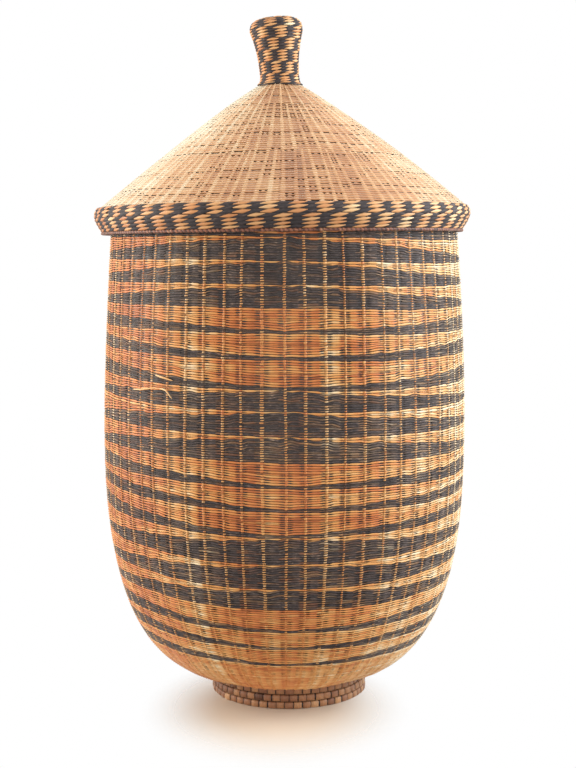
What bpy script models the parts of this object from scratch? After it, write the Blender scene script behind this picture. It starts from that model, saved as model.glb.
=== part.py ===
"""Tall lidded storage basket of wrapped twined work, with a sewn ring foot and a conical lid.

Sixty stakes cross in the base and rise inside a twined wall to a rolled rim. The lid is a twined
cone on stakes that fan out from the knob, with a thick eave band that hangs outside the rim.
Metres, +Z up, origin on the floor under the middle of the foot.
"""

import math

import bmesh
import bpy
import numpy as np

MM = 0.001

# Gap between pieces that touch
CLEARANCE = 0.3 * MM

# Wall and base, outer face
BELLY_RADIUS = 190.0 * MM
BELLY_HEIGHT = 281.0 * MM
RIM_RADIUS = 179.3 * MM
WALL_HEIGHT = 510.0 * MM
BASE_RADIUS = 53.5 * MM
BASE_HEIGHT = 20.4 * MM
TURN_UP_HEIGHT = 95.0 * MM
WEFT_THICKNESS = 2.2 * MM
BOWL_POWER = 2.6
SHOULDER_POWER = 1.7
BOWL_STEPS = 8
SHOULDER_STEPS = 3

# Basket stakes, on the inside of the wall
STAKE_COUNT = 60
STAKE_WIDTH = 3.6 * MM
STAKE_THICKNESS = 3.0 * MM
STAKE_PARTING = 0.8 * MM

# Rolled rim
RIM_ROLL_RADIUS = 3.4 * MM
ROLL_SIDES = 8

# Foot ring of sewn rows
FOOT_RADIUS = 82.5 * MM
FOOT_WIDTH = 9.0 * MM
FOOT_ROUNDING = 1.2 * MM
FOOT_STITCHES = 42
FOOT_ROWS = ("lower", "middle", "upper")

# Cone of the lid
LID_SLOPE = math.radians(37.1)
LID_BULGE = 3.0 * MM
LID_SKIN = 2.0 * MM
LID_COLUMNS = 48
LID_STEPS = 3
LID_STAKES = 24
LID_STAKE_WIDTH = 3.0 * MM
LID_STAKE_THICKNESS = 2.6 * MM
FORK_RADIUS = 60.0 * MM
FORK_GAP = 0.5 * MM

# Eave band and border of the lid
LID_GAP = 4.4 * MM
BAND_DROP = 23.5 * MM
BAND_TUCK = 8.3 * MM
BAND_THICKNESS = 4.2 * MM
EAVE_CORNER = 9.0 * MM
EAVE_STEPS = 3
BORDER_RADIUS = 2.4 * MM
BORDER_SIDES = 6

# Knob
KNOB_WAIST_RADIUS = 19.8 * MM
KNOB_TOP_RADIUS = 27.0 * MM
KNOB_NECK_HEIGHT = 51.0 * MM
KNOB_CROWN_HEIGHT = 15.4 * MM
KNOB_SKIN = 2.2 * MM
KNOB_COLUMNS = 24
KNOB_FLARE_POWER = 2.3
KNOB_CROWN_POWER = 0.75
KNOB_STEPS = 4
CROWN_SPLIT = math.radians(20.0)

SMOOTH_ANGLE = math.radians(40.0)
HALF_STAKE = math.pi / STAKE_COUNT
HALF_LID_COLUMN = math.pi / LID_COLUMNS


def clear_scene():
    """Remove every object of the file the script is run in."""
    for item in list(bpy.data.objects):
        bpy.data.objects.remove(item, do_unlink=True)


def material(name, colour, roughness):
    """Principled finish of one plain linear colour."""
    finish = bpy.data.materials.new(name)
    finish.use_nodes = True
    shader = finish.node_tree.nodes["Principled BSDF"]
    shader.inputs["Base Color"].default_value = (*colour, 1.0)
    shader.inputs["Roughness"].default_value = roughness
    shader.inputs["Metallic"].default_value = 0.0
    return finish


def add_object(name, mesh_data, finish):
    """Turn a bmesh into a named object, faces outward, smooth across its gentle edges."""
    bmesh.ops.recalc_face_normals(mesh_data, faces=mesh_data.faces)
    mesh = bpy.data.meshes.new(name)
    mesh_data.to_mesh(mesh)
    mesh_data.free()
    mesh.shade_smooth()
    mesh.set_sharp_from_angle(angle=SMOOTH_ANGLE)
    mesh.materials.append(finish)
    item = bpy.data.objects.new(name, mesh)
    bpy.context.collection.objects.link(item)
    return item


def turned(name, outline, columns, finish, start=0.0):
    """Spin an outline of (radius, height) points about Z.

    An outline that starts and ends on the axis stays open; any other is closed into a ring.
    """
    mesh_data = bmesh.new()
    points = [(r * math.cos(start), r * math.sin(start), z) for r, z in outline]
    verts = [mesh_data.verts.new(point) for point in points]
    pairs = list(zip(verts[:-1], verts[1:]))
    if outline[0][0] > 0.0:
        pairs.append((verts[-1], verts[0]))
    edges = [mesh_data.edges.new(pair) for pair in pairs]
    bmesh.ops.spin(
        mesh_data,
        geom=verts + edges,
        cent=(0.0, 0.0, 0.0),
        axis=(0.0, 0.0, 1.0),
        angle=math.tau,
        steps=columns,
        use_merge=True,
    )
    bmesh.ops.remove_doubles(mesh_data, verts=mesh_data.verts, dist=CLEARANCE / columns)
    return add_object(name, mesh_data, finish)


def offset(outline, distance):
    """Move an open outline to its left by a distance, mitred at its corners."""
    points = np.array(outline)
    steps = np.diff(points, axis=0)
    normals = np.stack([-steps[:, 1], steps[:, 0]], axis=1)
    normals /= np.linalg.norm(normals, axis=1)[:, None]
    before = np.vstack([normals[:1], normals])
    after = np.vstack([normals, normals[-1:]])
    spread = 1.0 + np.sum(before * after, axis=1)
    return points + distance * (before + after) / spread[:, None]


def radius_at(outline, height):
    """Radius of a rising outline at a height."""
    return float(np.interp(height, outline[:, 1], outline[:, 0]))


def height_at(outline, radius):
    """Height of a widening outline at a radius."""
    widening = outline[: int(np.argmax(outline[:, 0])) + 1]
    return float(np.interp(radius, widening[:, 0], widening[:, 1]))


def regular_section(centre_radius, centre_height, radius, sides):
    """Regular polygon with a flat at its bottom, as a ring's section."""
    half = math.pi / sides
    angles = [-math.pi / 2 + half + 2 * half * step for step in range(sides)]
    return [
        (centre_radius + radius * math.cos(angle), centre_height + radius * math.sin(angle))
        for angle in angles
    ]


def wall_outline():
    """Outer face from the middle of the base up to the wall's top edge.

    Below the belly it is a quarter of a superellipse, and above it the wall draws in by a power
    of the height.
    """
    points = [(0.0, BASE_HEIGHT)]
    for step in range(BOWL_STEPS + 1):
        angle = math.pi / 2 * (1.0 - step / BOWL_STEPS)
        across = max(math.cos(angle), 0.0) ** (2 / BOWL_POWER)
        down = math.sin(angle) ** (2 / BOWL_POWER)
        radius = BASE_RADIUS + (BELLY_RADIUS - BASE_RADIUS) * across
        points.append((radius, BELLY_HEIGHT - (BELLY_HEIGHT - BASE_HEIGHT) * down))
    for step in range(1, SHOULDER_STEPS + 1):
        rise = step / SHOULDER_STEPS
        radius = BELLY_RADIUS - (BELLY_RADIUS - RIM_RADIUS) * rise**SHOULDER_POWER
        points.append((radius, BELLY_HEIGHT + (WALL_HEIGHT - BELLY_HEIGHT) * rise))
    return np.array(points)


WALL = wall_outline()
WALL_INNER = offset(WALL, WEFT_THICKNESS)


def part_of_wall(outline, low, high):
    """Points of a wall outline between two heights, cut level at both."""
    inside = [tuple(point) for point in outline if low < point[1] < high]
    return [(radius_at(outline, low), low)] + inside + [(radius_at(outline, high), high)]


def make_base_weave(finish):
    """Twined bowl of the base, from the started middle to the turn-up."""
    outer = [(0.0, BASE_HEIGHT)] + part_of_wall(WALL, BASE_HEIGHT, TURN_UP_HEIGHT)[1:]
    outer.insert(1, (BASE_RADIUS, BASE_HEIGHT))
    floor_height = BASE_HEIGHT + WEFT_THICKNESS
    inner = part_of_wall(WALL_INNER[1:], floor_height, TURN_UP_HEIGHT)
    outline = outer + inner[::-1] + [(0.0, floor_height)]
    return turned("base_weave", outline, STAKE_COUNT, finish, HALF_STAKE)


def make_wall_weave(finish):
    """Twined wall from the turn-up to its level top edge."""
    low = TURN_UP_HEIGHT + CLEARANCE
    outer = part_of_wall(WALL, low, WALL_HEIGHT)
    inner = part_of_wall(WALL_INNER, low, WALL_HEIGHT)
    return turned("wall_weave", outer + inner[::-1], STAKE_COUNT, finish, HALF_STAKE)


def stake_ring(angle, along, half_width):
    """Four corners of a stake at an angle: outer left, outer right, inner right, inner left."""
    (outer_radius, outer_height), (inner_radius, inner_height) = along
    radial = np.array([math.cos(angle), math.sin(angle), 0.0])
    tangent = np.array([-math.sin(angle), math.cos(angle), 0.0])
    outer = outer_radius * radial + np.array([0.0, 0.0, outer_height])
    inner = inner_radius * radial + np.array([0.0, 0.0, inner_height])
    side = half_width * tangent
    return [outer - side, outer + side, inner + side, inner - side]


def add_tube(mesh_data, rings):
    """Skin a run of four-cornered rings of vertices and close its far end."""
    for near, far in zip(rings[:-1], rings[1:]):
        for corner in range(4):
            following = (corner + 1) % 4
            mesh_data.faces.new((near[corner], near[following], far[following], far[corner]))
    mesh_data.faces.new(rings[-1])


def make_wall_stakes(finish):
    """Stakes of the basket: a hub where they cross, and one bent stake for each column.

    A stake follows every second corner of the wall, so it stays inside the wall's inner face.
    """
    hub_radius = STAKE_COUNT * (STAKE_WIDTH + STAKE_PARTING) / math.tau
    hub_low = height_at(WALL_INNER, hub_radius) + CLEARANCE
    hub_high = hub_low + STAKE_THICKNESS
    face = offset(WALL, WEFT_THICKNESS + CLEARANCE)
    back = offset(WALL, WEFT_THICKNESS + CLEARANCE + STAKE_THICKNESS)
    squeeze = math.cos(HALF_STAKE)
    stations = []
    for corner in range(2, len(WALL), 2):
        outer = (face[corner][0] * squeeze, min(face[corner][1], WALL_HEIGHT))
        inner = (back[corner][0] * squeeze, min(back[corner][1], WALL_HEIGHT))
        stations.append((outer, inner))
    mesh_data = bmesh.new()
    under = mesh_data.verts.new((0.0, 0.0, hub_low))
    over = mesh_data.verts.new((0.0, 0.0, hub_high))
    starts = []
    for stake in range(STAKE_COUNT):
        angle = math.tau * stake / STAKE_COUNT
        hub = ((hub_radius, hub_low), (hub_radius, hub_high))
        rings = []
        for along in [hub] + stations:
            corners = stake_ring(angle, along, STAKE_WIDTH / 2)
            rings.append([mesh_data.verts.new(corner) for corner in corners])
        add_tube(mesh_data, rings)
        starts.append(rings[0])
    for stake, ring in enumerate(starts):
        following = starts[(stake + 1) % STAKE_COUNT]
        mesh_data.faces.new((ring[1], following[0], following[3], ring[2]))
        mesh_data.faces.new((under, ring[1], ring[0]))
        mesh_data.faces.new((under, following[0], ring[1]))
        mesh_data.faces.new((over, ring[3], ring[2]))
        mesh_data.faces.new((over, ring[2], following[3]))
    return add_object("wall_stakes", mesh_data, finish)


def rim_section():
    """Section of the rolled rim, which covers the wall's edge and the stake ends."""
    centre_radius = RIM_RADIUS - (WEFT_THICKNESS + CLEARANCE + STAKE_THICKNESS) / 2
    flat = RIM_ROLL_RADIUS * math.cos(math.pi / ROLL_SIDES)
    centre_height = WALL_HEIGHT + CLEARANCE + flat
    return regular_section(centre_radius, centre_height, RIM_ROLL_RADIUS, ROLL_SIDES)


def make_foot_rows(finish):
    """Three stitched rows under the base; the top one is packed against the base."""
    outer = FOOT_RADIUS
    inner = FOOT_RADIUS - FOOT_WIDTH
    top_inner = height_at(WALL, inner + FOOT_ROUNDING) - CLEARANCE
    top_outer = height_at(WALL, outer - FOOT_ROUNDING) - CLEARANCE
    row_pitch = (top_inner + CLEARANCE) / len(FOOT_ROWS)
    row_height = row_pitch - CLEARANCE
    rows = []
    for row, place in enumerate(FOOT_ROWS):
        low = row * row_pitch
        middle = low + row_height / 2
        last = row == len(FOOT_ROWS) - 1
        outline = [
            (inner + FOOT_ROUNDING, low),
            (outer - FOOT_ROUNDING, low),
            (outer, middle),
            (outer - FOOT_ROUNDING, top_outer if last else low + row_height),
            (inner + FOOT_ROUNDING, top_inner if last else low + row_height),
            (inner, middle),
        ]
        start = math.pi / FOOT_STITCHES * (1 + row % 2)
        rows.append(turned(f"foot_coil_{place}", outline, FOOT_STITCHES, finish, start))
    return rows


def rise_of_lid(radius, inner_radius, outer_radius):
    """Height of the cone's outer face above its end on the axis, before it is seated."""
    share = (radius - inner_radius) / (outer_radius - inner_radius)
    return 4 * LID_BULGE * share * (1 - share) - radius * math.tan(LID_SLOPE)


def lid_layout():
    """Radii and heights of the cone, seated so that its stakes lie just clear of the rim."""
    border_height = WALL_HEIGHT - BAND_DROP
    border_radius = radius_at(WALL, border_height) + LID_GAP + BORDER_RADIUS
    eave_radius = border_radius + BAND_TUCK
    cone_end = eave_radius - EAVE_CORNER * (1 - math.sin(LID_SLOPE))
    neck = (KNOB_WAIST_RADIUS - KNOB_SKIN) * math.cos(math.pi / KNOB_COLUMNS) - CLEARANCE
    radii = [neck] + list(np.linspace(FORK_RADIUS, cone_end, LID_STEPS + 1))
    rises = [rise_of_lid(radius, neck, cone_end) for radius in radii]
    slanted = 1 / math.cos(LID_SLOPE)
    depth = (LID_SKIN + CLEARANCE + LID_STAKE_THICKNESS) * slanted
    apex = -math.inf
    for radius, height in rim_section():
        rise = float(np.interp(radius / math.cos(HALF_LID_COLUMN), radii, rises))
        apex = max(apex, height + CLEARANCE * slanted - rise + depth)
    line = np.array([(radius, apex + rise) for radius, rise in zip(radii, rises)])
    return line, eave_radius, border_radius, border_height


LID_LINE, EAVE_RADIUS, BORDER_RING_RADIUS, BORDER_HEIGHT = lid_layout()
NECK_RADIUS = LID_LINE[0][0]
CONE_END = LID_LINE[-1][0]
SLANTED = 1 / math.cos(LID_SLOPE)


def lid_height(radius, depth=0.0):
    """Height on the cone at a radius, at a depth square to its outer face."""
    return float(np.interp(radius, LID_LINE[:, 0], LID_LINE[:, 1])) - depth * SLANTED


def make_lid_weave(finish):
    """Twined skin of the cone, from the neck of the knob to the eave."""
    neck = (NECK_RADIUS + CLEARANCE) / math.cos(HALF_LID_COLUMN)
    radii = [neck] + list(LID_LINE[1:, 0])
    outer = [(radius, lid_height(radius)) for radius in radii]
    inner = [(radius, lid_height(radius, LID_SKIN)) for radius in radii]
    return turned("lid_weave", outer[::-1] + inner, LID_COLUMNS, finish)


def lid_stake_station(radius):
    """Upper and lower point of a lid stake where the cone has the given radius."""
    placed = radius * math.cos(HALF_LID_COLUMN)
    top = lid_height(radius, LID_SKIN + CLEARANCE)
    bottom = lid_height(radius, LID_SKIN + CLEARANCE + LID_STAKE_THICKNESS)
    return (placed, top), (placed, bottom)


def knob_outline():
    """Outer face of the knob from the cone to the middle of its top.

    The neck flares by a power of its height, and the crown is a quarter of a superellipse.
    """
    foot_height = lid_height(KNOB_WAIST_RADIUS) + CLEARANCE * SLANTED
    shoulder_height = foot_height + KNOB_NECK_HEIGHT
    points = []
    for step in range(KNOB_STEPS + 1):
        share = step / KNOB_STEPS
        flare = (KNOB_TOP_RADIUS - KNOB_WAIST_RADIUS) * share**KNOB_FLARE_POWER
        points.append((KNOB_WAIST_RADIUS + flare, foot_height + KNOB_NECK_HEIGHT * share))
    for step in range(1, KNOB_STEPS + 1):
        angle = CROWN_SPLIT + (math.pi / 2 - CROWN_SPLIT) * (step - 1) / (KNOB_STEPS - 1)
        across = max(math.cos(angle), 0.0) ** KNOB_CROWN_POWER
        up = math.sin(angle) ** KNOB_CROWN_POWER
        height = shoulder_height + KNOB_CROWN_HEIGHT * up
        points.append((KNOB_TOP_RADIUS * across if step < KNOB_STEPS else 0.0, height))
    return np.array(points)


KNOB = knob_outline()
KNOB_SPLIT = KNOB_STEPS + 1
SPLIT_HEIGHT = KNOB[KNOB_SPLIT][1]


def make_knob_weave(finish):
    """Twined skin of the knob, standing on the cone and open inside for the stakes."""
    outer = [tuple(point) for point in KNOB[: KNOB_SPLIT + 1]]
    inner = [(radius - KNOB_SKIN, height) for radius, height in outer]
    inner[0] = (inner[0][0], lid_height(inner[0][0]) + CLEARANCE * SLANTED)
    return turned("knob_weave", outer + inner[::-1], KNOB_COLUMNS, finish)


def make_knob_cap(finish):
    """Closed top of the knob, lying on the knob's skin and on the stake ends."""
    low = SPLIT_HEIGHT + CLEARANCE
    crown = [tuple(point) for point in KNOB[KNOB_SPLIT + 1 :]]
    edge = float(np.interp(low, KNOB[KNOB_SPLIT:, 1], KNOB[KNOB_SPLIT:, 0]))
    return turned("knob_cap", [(0.0, low), (edge, low)] + crown, KNOB_COLUMNS, finish)


def bundle_rows():
    """Radius and height of the stake bundle inside the knob, from the cone up to the cap."""
    top, bottom = lid_stake_station(NECK_RADIUS)
    rows = [(NECK_RADIUS, bottom[1]), (NECK_RADIUS, top[1])]
    squeeze = math.cos(math.pi / KNOB_COLUMNS)
    for radius, height in KNOB[1:KNOB_SPLIT]:
        rows.append(((radius - KNOB_SKIN) * squeeze - CLEARANCE, height))
    last = (KNOB[KNOB_SPLIT][0] - KNOB_SKIN) * squeeze - CLEARANCE
    rows.append((last, SPLIT_HEIGHT))
    return rows


def make_lid_stakes(finish):
    """Stakes of the lid: a bundle in the knob, and stakes that fork once on their way down."""
    mesh_data = bmesh.new()
    rows = bundle_rows()
    half_width = LID_STAKE_WIDTH / 2
    half_angle = math.asin(half_width / NECK_RADIUS)
    columns = []
    for stake in range(LID_STAKES):
        middle = math.tau * stake / LID_STAKES
        for angle in (middle - half_angle, middle + half_angle):
            column = []
            for radius, height in rows:
                place = (radius * math.cos(angle), radius * math.sin(angle), height)
                column.append(mesh_data.verts.new(place))
            columns.append(column)
    under = mesh_data.verts.new((0.0, 0.0, rows[0][1]))
    over = mesh_data.verts.new((0.0, 0.0, rows[-1][1]))
    for index, column in enumerate(columns):
        following = columns[(index + 1) % len(columns)]
        first = 1 if index % 2 == 0 else 0
        for row in range(first, len(rows) - 1):
            corners = (column[row], following[row], following[row + 1], column[row + 1])
            mesh_data.faces.new(corners)
        mesh_data.faces.new((under, following[0], column[0]))
        mesh_data.faces.new((over, column[-1], following[-1]))
    for stake in range(LID_STAKES):
        left, right = columns[2 * stake], columns[2 * stake + 1]
        start = [left[1], right[1], right[0], left[0]]
        add_forked_stake(mesh_data, math.tau * stake / LID_STAKES, start)
    return add_object("lid_stakes", mesh_data, finish)


def add_forked_stake(mesh_data, middle, start):
    """One lid stake from the bundle to its fork, and its two arms down to the eave."""
    half_width = LID_STAKE_WIDTH / 2
    fork = lid_stake_station(LID_LINE[1][0])
    wide = [mesh_data.verts.new(place) for place in stake_ring(middle, fork, half_width)]
    slit = [mesh_data.verts.new(place) for place in stake_ring(middle, fork, FORK_GAP / 2)]
    mesh_data.faces.new((start[0], start[1], wide[1], slit[1], slit[0], wide[0]))
    mesh_data.faces.new((start[2], start[3], wide[3], slit[3], slit[2], wide[2]))
    mesh_data.faces.new((start[1], start[2], wide[2], wide[1]))
    mesh_data.faces.new((start[3], start[0], wide[0], wide[3]))
    mesh_data.faces.new(slit)
    radii = list(LID_LINE[2:-1, 0]) + [CONE_END - CLEARANCE]
    for side in (-1, 1):
        if side < 0:
            near = [wide[0], slit[0], slit[3], wide[3]]
        else:
            near = [slit[1], wide[1], wide[2], slit[2]]
        rings = [near]
        for radius in radii:
            angle = middle + side * HALF_LID_COLUMN
            places = stake_ring(angle, lid_stake_station(radius), half_width)
            rings.append([mesh_data.verts.new(place) for place in places])
        add_tube(mesh_data, rings)


def band_section():
    """Section of the eave band: a rounded corner below the cone, then a face that tucks in."""
    corner_radius = EAVE_RADIUS - EAVE_CORNER
    corner_height = lid_height(corner_radius, EAVE_CORNER)
    start = CONE_END + CLEARANCE
    low = BORDER_HEIGHT + BORDER_RADIUS * math.cos(math.pi / BORDER_SIDES) + CLEARANCE
    outer = [(start, lid_height(CONE_END) - CLEARANCE * math.tan(LID_SLOPE))]
    for step in range(1, EAVE_STEPS + 1):
        angle = (math.pi / 2 - LID_SLOPE) * (1 - step / EAVE_STEPS)
        across = corner_radius + EAVE_CORNER * math.cos(angle)
        outer.append((across, corner_height + EAVE_CORNER * math.sin(angle)))
    drop = corner_height - low
    for share in (0.5, 1.0):
        tuck = (BAND_TUCK - BAND_THICKNESS / 2) * share**SHOULDER_POWER
        outer.append((EAVE_RADIUS - tuck, corner_height - drop * share))
    end_radius = outer[-1][0] - BAND_THICKNESS
    depth = LID_SKIN + CLEARANCE + LID_STAKE_THICKNESS
    inner = [
        (end_radius, low),
        (EAVE_RADIUS - BAND_THICKNESS, corner_height),
        (start, lid_height(CONE_END, depth)),
    ]
    return outer + inner


def border_section():
    """Section of the wrapped border that closes the band's lower edge."""
    return regular_section(BORDER_RING_RADIUS, BORDER_HEIGHT, BORDER_RADIUS, BORDER_SIDES)


def build():
    """Make every piece of the basket and its lid."""
    clear_scene()
    straw = material("twined_straw", (0.56, 0.29, 0.11), 0.62)
    pale_straw = material("twined_pale_straw", (0.62, 0.36, 0.16), 0.62)
    stake_wood = material("split_stake", (0.50, 0.30, 0.14), 0.7)
    dark_straw = material("dyed_straw", (0.06, 0.05, 0.045), 0.7)
    foot_splint = material("foot_splint", (0.30, 0.15, 0.08), 0.75)
    make_foot_rows(foot_splint)
    make_base_weave(straw)
    make_wall_weave(straw)
    make_wall_stakes(stake_wood)
    turned("rim_border", rim_section(), STAKE_COUNT, dark_straw, HALF_STAKE)
    make_lid_stakes(stake_wood)
    make_lid_weave(pale_straw)
    turned("lid_band", band_section(), LID_COLUMNS, dark_straw)
    turned("lid_border", border_section(), LID_COLUMNS, foot_splint)
    make_knob_weave(dark_straw)
    make_knob_cap(dark_straw)


build()
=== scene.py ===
"""Looks of the tall lidded basket: wefts, bindings and stitches as surfaces of their own.

The scene is in metres with +Z up. A bearing runs round Z from the seam that faces the viewer (-Y)
towards +X, and a run is a length along the outline of a turned surface. Together they place every
strand, and a third number moves it square to the surface, outward when it is positive.

Every point carries three marks that the straw finish reads: tone is how light its strand is, and in
places holds painted light and shade by bearing; dye is how dyed it is; and gap is how deep in a groove
it lies, which the finish turns into painted shade.
"""

import math
from collections import namedtuple

import bpy
import numpy as np
from mathutils import Matrix, Vector


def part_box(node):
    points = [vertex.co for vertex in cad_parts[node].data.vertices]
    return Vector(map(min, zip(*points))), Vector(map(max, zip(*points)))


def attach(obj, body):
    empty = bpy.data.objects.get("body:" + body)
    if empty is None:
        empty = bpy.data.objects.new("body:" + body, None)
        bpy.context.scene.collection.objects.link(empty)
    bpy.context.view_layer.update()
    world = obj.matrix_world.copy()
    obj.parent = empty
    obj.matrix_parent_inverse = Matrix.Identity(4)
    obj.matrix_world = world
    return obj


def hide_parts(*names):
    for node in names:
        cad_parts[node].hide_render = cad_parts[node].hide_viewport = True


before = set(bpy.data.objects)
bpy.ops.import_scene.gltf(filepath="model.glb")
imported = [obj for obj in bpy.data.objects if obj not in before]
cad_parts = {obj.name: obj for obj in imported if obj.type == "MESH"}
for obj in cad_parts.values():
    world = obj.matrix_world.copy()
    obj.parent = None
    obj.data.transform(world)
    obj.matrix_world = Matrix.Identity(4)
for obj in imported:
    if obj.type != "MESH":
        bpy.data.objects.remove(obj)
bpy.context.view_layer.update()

MM = 0.001
RANDOM = np.random.default_rng(60)

# Outline of the wall, as a quarter of a superellipse below the belly and a power curve above
STAKES = 60
BELLY_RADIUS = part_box("wall_weave")[1].x / math.cos(math.pi / STAKES)
BELLY_HEIGHT = 281.0 * MM
RIM_RADIUS = 179.3 * MM
WALL_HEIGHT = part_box("wall_weave")[1].z
BASE_RADIUS = 53.5 * MM
BASE_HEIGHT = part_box("base_weave")[0].z
TURN_UP_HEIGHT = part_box("base_weave")[1].z
BOWL_POWER = 2.6
SHOULDER_POWER = 1.7
BOWL_STEPS = 1200
SHOULDER_STEPS = 400

# Rows of the wall
ROW_PITCH = 2.4 * MM
CENTRE_HOLE = 9.0 * MM
FOOT_TOP = 24.0 * MM
# Level lower edges of the dyed bands, from the foot up
BAND_HEIGHTS = np.array([
    65.1, 84.3, 103.3,
    127.4, 148.8, 173.6,
    199.8, 224.6, 246.9,
    270.9, 295.2, 318.6,
    338.5, 366.6, 391.4,
    415.2, 437.2, 459.6,
    482.0, 503.0,
]) * MM
# Three thin and three wide bands in turn, as counted at the front seam
BANDS_PER_GROUP = 3
THIN_ROWS_AT_SEAM = 1.0
THIN_ROWS_AT_SIDE = 7.0
WIDE_ROWS_AT_SIDE = 2.0
LIGHT_ROWS_AT_SEAM = 0.3
# The slope of a dyed band is ragged by this share of a row, and least where the band is full
RAGGED_ROWS = 0.22
RAGGED_WAVES = ((1.0, 41, 5 * MM, 0.0), (1.0, 67, -3 * MM, 0.0))
RAGGED_LEAST = 0.2
# Pieces that the wall's strands are made in, from the middle of the base up
WALL_ZONES = ("bottom", "base", "lower", "middle", "belly", "upper", "top")
BASE_ZONES = ("bottom", "base")

# The rows climb round the wall as hand twining does: how far they lie over their level line at the
# left and at the right side, by height
SLANT_HEIGHTS = np.array([
    30.0, 90.0, 140.0, 165.0, 190.0, 240.0, 300.0, 350.0, 400.0, 480.0, 511.0,
]) * MM
SLANT_LEFT = np.array([0.0, 6.0, 7.5, 8.5, 9.0, 8.5, 7.5, 9.5, 3.5, 1.2, 0.0]) * MM
SLANT_RIGHT = np.array([0.0, 0.0, 3.0, 6.0, 4.5, -4.5, -3.5, -1.2, -4.0, -4.0, 0.0]) * MM
# At the very left some rows sink again
DROP_HEIGHTS = np.array([220.0, 245.0, 270.0, 295.0, 315.0]) * MM
DROP_LEFT = np.array([0.0, 5.0, 6.0, 5.0, 0.0]) * MM
DROP_POWER = 8
# A height is carried over to the outline as if that rose at least this steeply
STEEP = 0.5

# Hand-made unevenness as waves of size, count round Z, length along the outline and phase: rows in
# mm along the outline, stakes in radians round the wall and the surface in mm outward
ROW_WAVES = ((0.45, 3, 61 * MM, 0.0), (0.30, 7, -37 * MM, 1.3), (0.16, 19, 23 * MM, 0.4))
STAKE_WAVES = (
    (0.0050, 13, math.inf, 0.6),
    (0.0040, 23, math.inf, 2.1),
    (0.0016, 31, 45 * MM, 0.0),
    (0.0014, 9, -70 * MM, 0.0),
)
DENT_WAVES = ((0.5, 5, 90 * MM, 0.0), (0.3, 11, -52 * MM, 0.0))
# One more wave of the rows, whose phase swings by radians over a length
SWINGING_WAVE = (0.24, 30, 1.7, 9 * MM)

# A row has six sections to a stake: an edge of the slit, the two sides of the binding, the other
# edge, and two more in the panel beyond
BINDING_WIDTH = 3.3 * MM
BINDING_SHARE = 0.36
SLIT_REACH = 2.6 * MM
SLIT_SHARE = 0.14
PANEL_PLACES = (0.37, 0.63)
SECTIONS = 6
# Of each section: how far it is pulled in, how much painted shade darkens it there, and how far its
# strand narrows, which opens the slits between rows
PULL = np.array([0.02, 0.3, 0.3, 0.02, 0.05, 0.05]) * MM
PULL_GAP = np.array([0.0, 0.3, 0.3, 0.0, 0.0, 0.0])
NARROWING = np.array([0.85, 0.7, 0.7, 0.85, 0.4, 0.4])
# Heights between which the bindings come out of the weave and hold the rows in
BINDING_START = (110.0 * MM, 240.0 * MM)
FREE_PULL = 0.2
# How open the rows lie next to a stake and in a panel, and how much more seldom where nothing holds
OPEN_LEAST = 0.15
OPEN_ROWS = (0.8, 1.0)
OPEN_SELDOM = 0.6
OPEN_ON_STAKE = 0.8
OPEN_BEYOND = 0.14
OPEN_PANEL = 0.2
SEAM_OPENING = 0.8
# Thinnest strands that are drawn and that are bound, as a share of a row
DRAWN_SHARE = 0.04
BOUND_SHARE = 0.45

# Points of a weft strand's section, from its lower edge up its face to its upper edge
SECTION_SHARE = np.array([0.0, 0.2, 0.8, 1.0])
SECTION_OUT = np.array([-0.95, 0.0, -0.04, -0.95]) * MM
# A strand's two edges lie in the grooves and are darkened there as painted shade
SECTION_GAP = np.array([0.85, 0.0, 0.0, 0.85])
# A strand thinner than this share of a row is flatter, and a closed groove this share as deep
FULL_THICKNESS = 0.5
CLOSED_GROOVE = 0.3

# Shade of each panel between two stakes, by the sine of the bearing: painted shade round the front and
# back seams and at the far left, and painted light towards the right, strongest at the far right edge
STAKE_SIDE = np.sin(math.tau / STAKES * (np.arange(STAKES) + 0.5))
SEAM_MIDDLE = -0.04
SEAM_REACH = 0.25
SEAM_PANEL = np.abs(STAKE_SIDE - SEAM_MIDDLE) < SEAM_REACH
PAINTED_SEAM_SHADE = -0.05
SIDE_LIGHT_SINES = (-1.0, -0.68, -0.62, -0.4, -0.36, 0.25, 0.7, 1.0)
SIDE_LIGHT_TONES = (-0.16, -0.1, 0.0, 0.02, 0.0, 0.06, 0.07, 0.26)
PAINTED_SIDE_LIGHT = np.interp(STAKE_SIDE, SIDE_LIGHT_SINES, SIDE_LIGHT_TONES)
PANEL_SPREAD = 0.05
PANEL_TONE = RANDOM.normal(0.0, PANEL_SPREAD, STAKES) + np.where(SEAM_PANEL, PAINTED_SEAM_SHADE, PAINTED_SIDE_LIGHT)
# Tone of the rows as mean and spread, and the spread by panel in a band and by row in a panel
ROW_TONE = (0.52, 0.08)
BAND_SPREAD = 0.035
STRAND_SPREAD = 0.055
# Tone along a panel: brightest just beyond the stake, where the strand twists to the light
ALONG_TONE = np.array([-0.05, -0.02, 0.03, 0.08, 0.05, -0.04])
ALONG_SPREAD = (0.4, 1.6)
# The rows near the foot are lighter, and so are the few light ones between wide bands at the seam
FOOT_GLOW = 0.11
FOOT_GLOW_END = (55 * MM, 175 * MM)
PALE_LINE = 0.15

# Dye takes unevenly: it is seldom much weaker in a panel
UNEVEN_DYE = 0.22
UNEVEN_POWER = 9
# Some dyed strands show bare straw: what share of them, how bare, and their tone there
BARE_SHARE = 0.46
BARE_DEPTH = (0.15, 0.42)
BARE_TONE = 0.14
# It shows most next to the stakes, and by section point along the upper shoulder
BARE_ALONG = np.array([1.0, 1.0, 1.0, 1.0, 0.35, 0.25])
BARE_EDGE = np.array([0.0, 0.0, 1.0, 0.2])
# The topmost dyed bands show hardly any
CLEAN_START = (400.0 * MM, 470.0 * MM)
CLEAN_SHARE = 0.75

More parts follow.
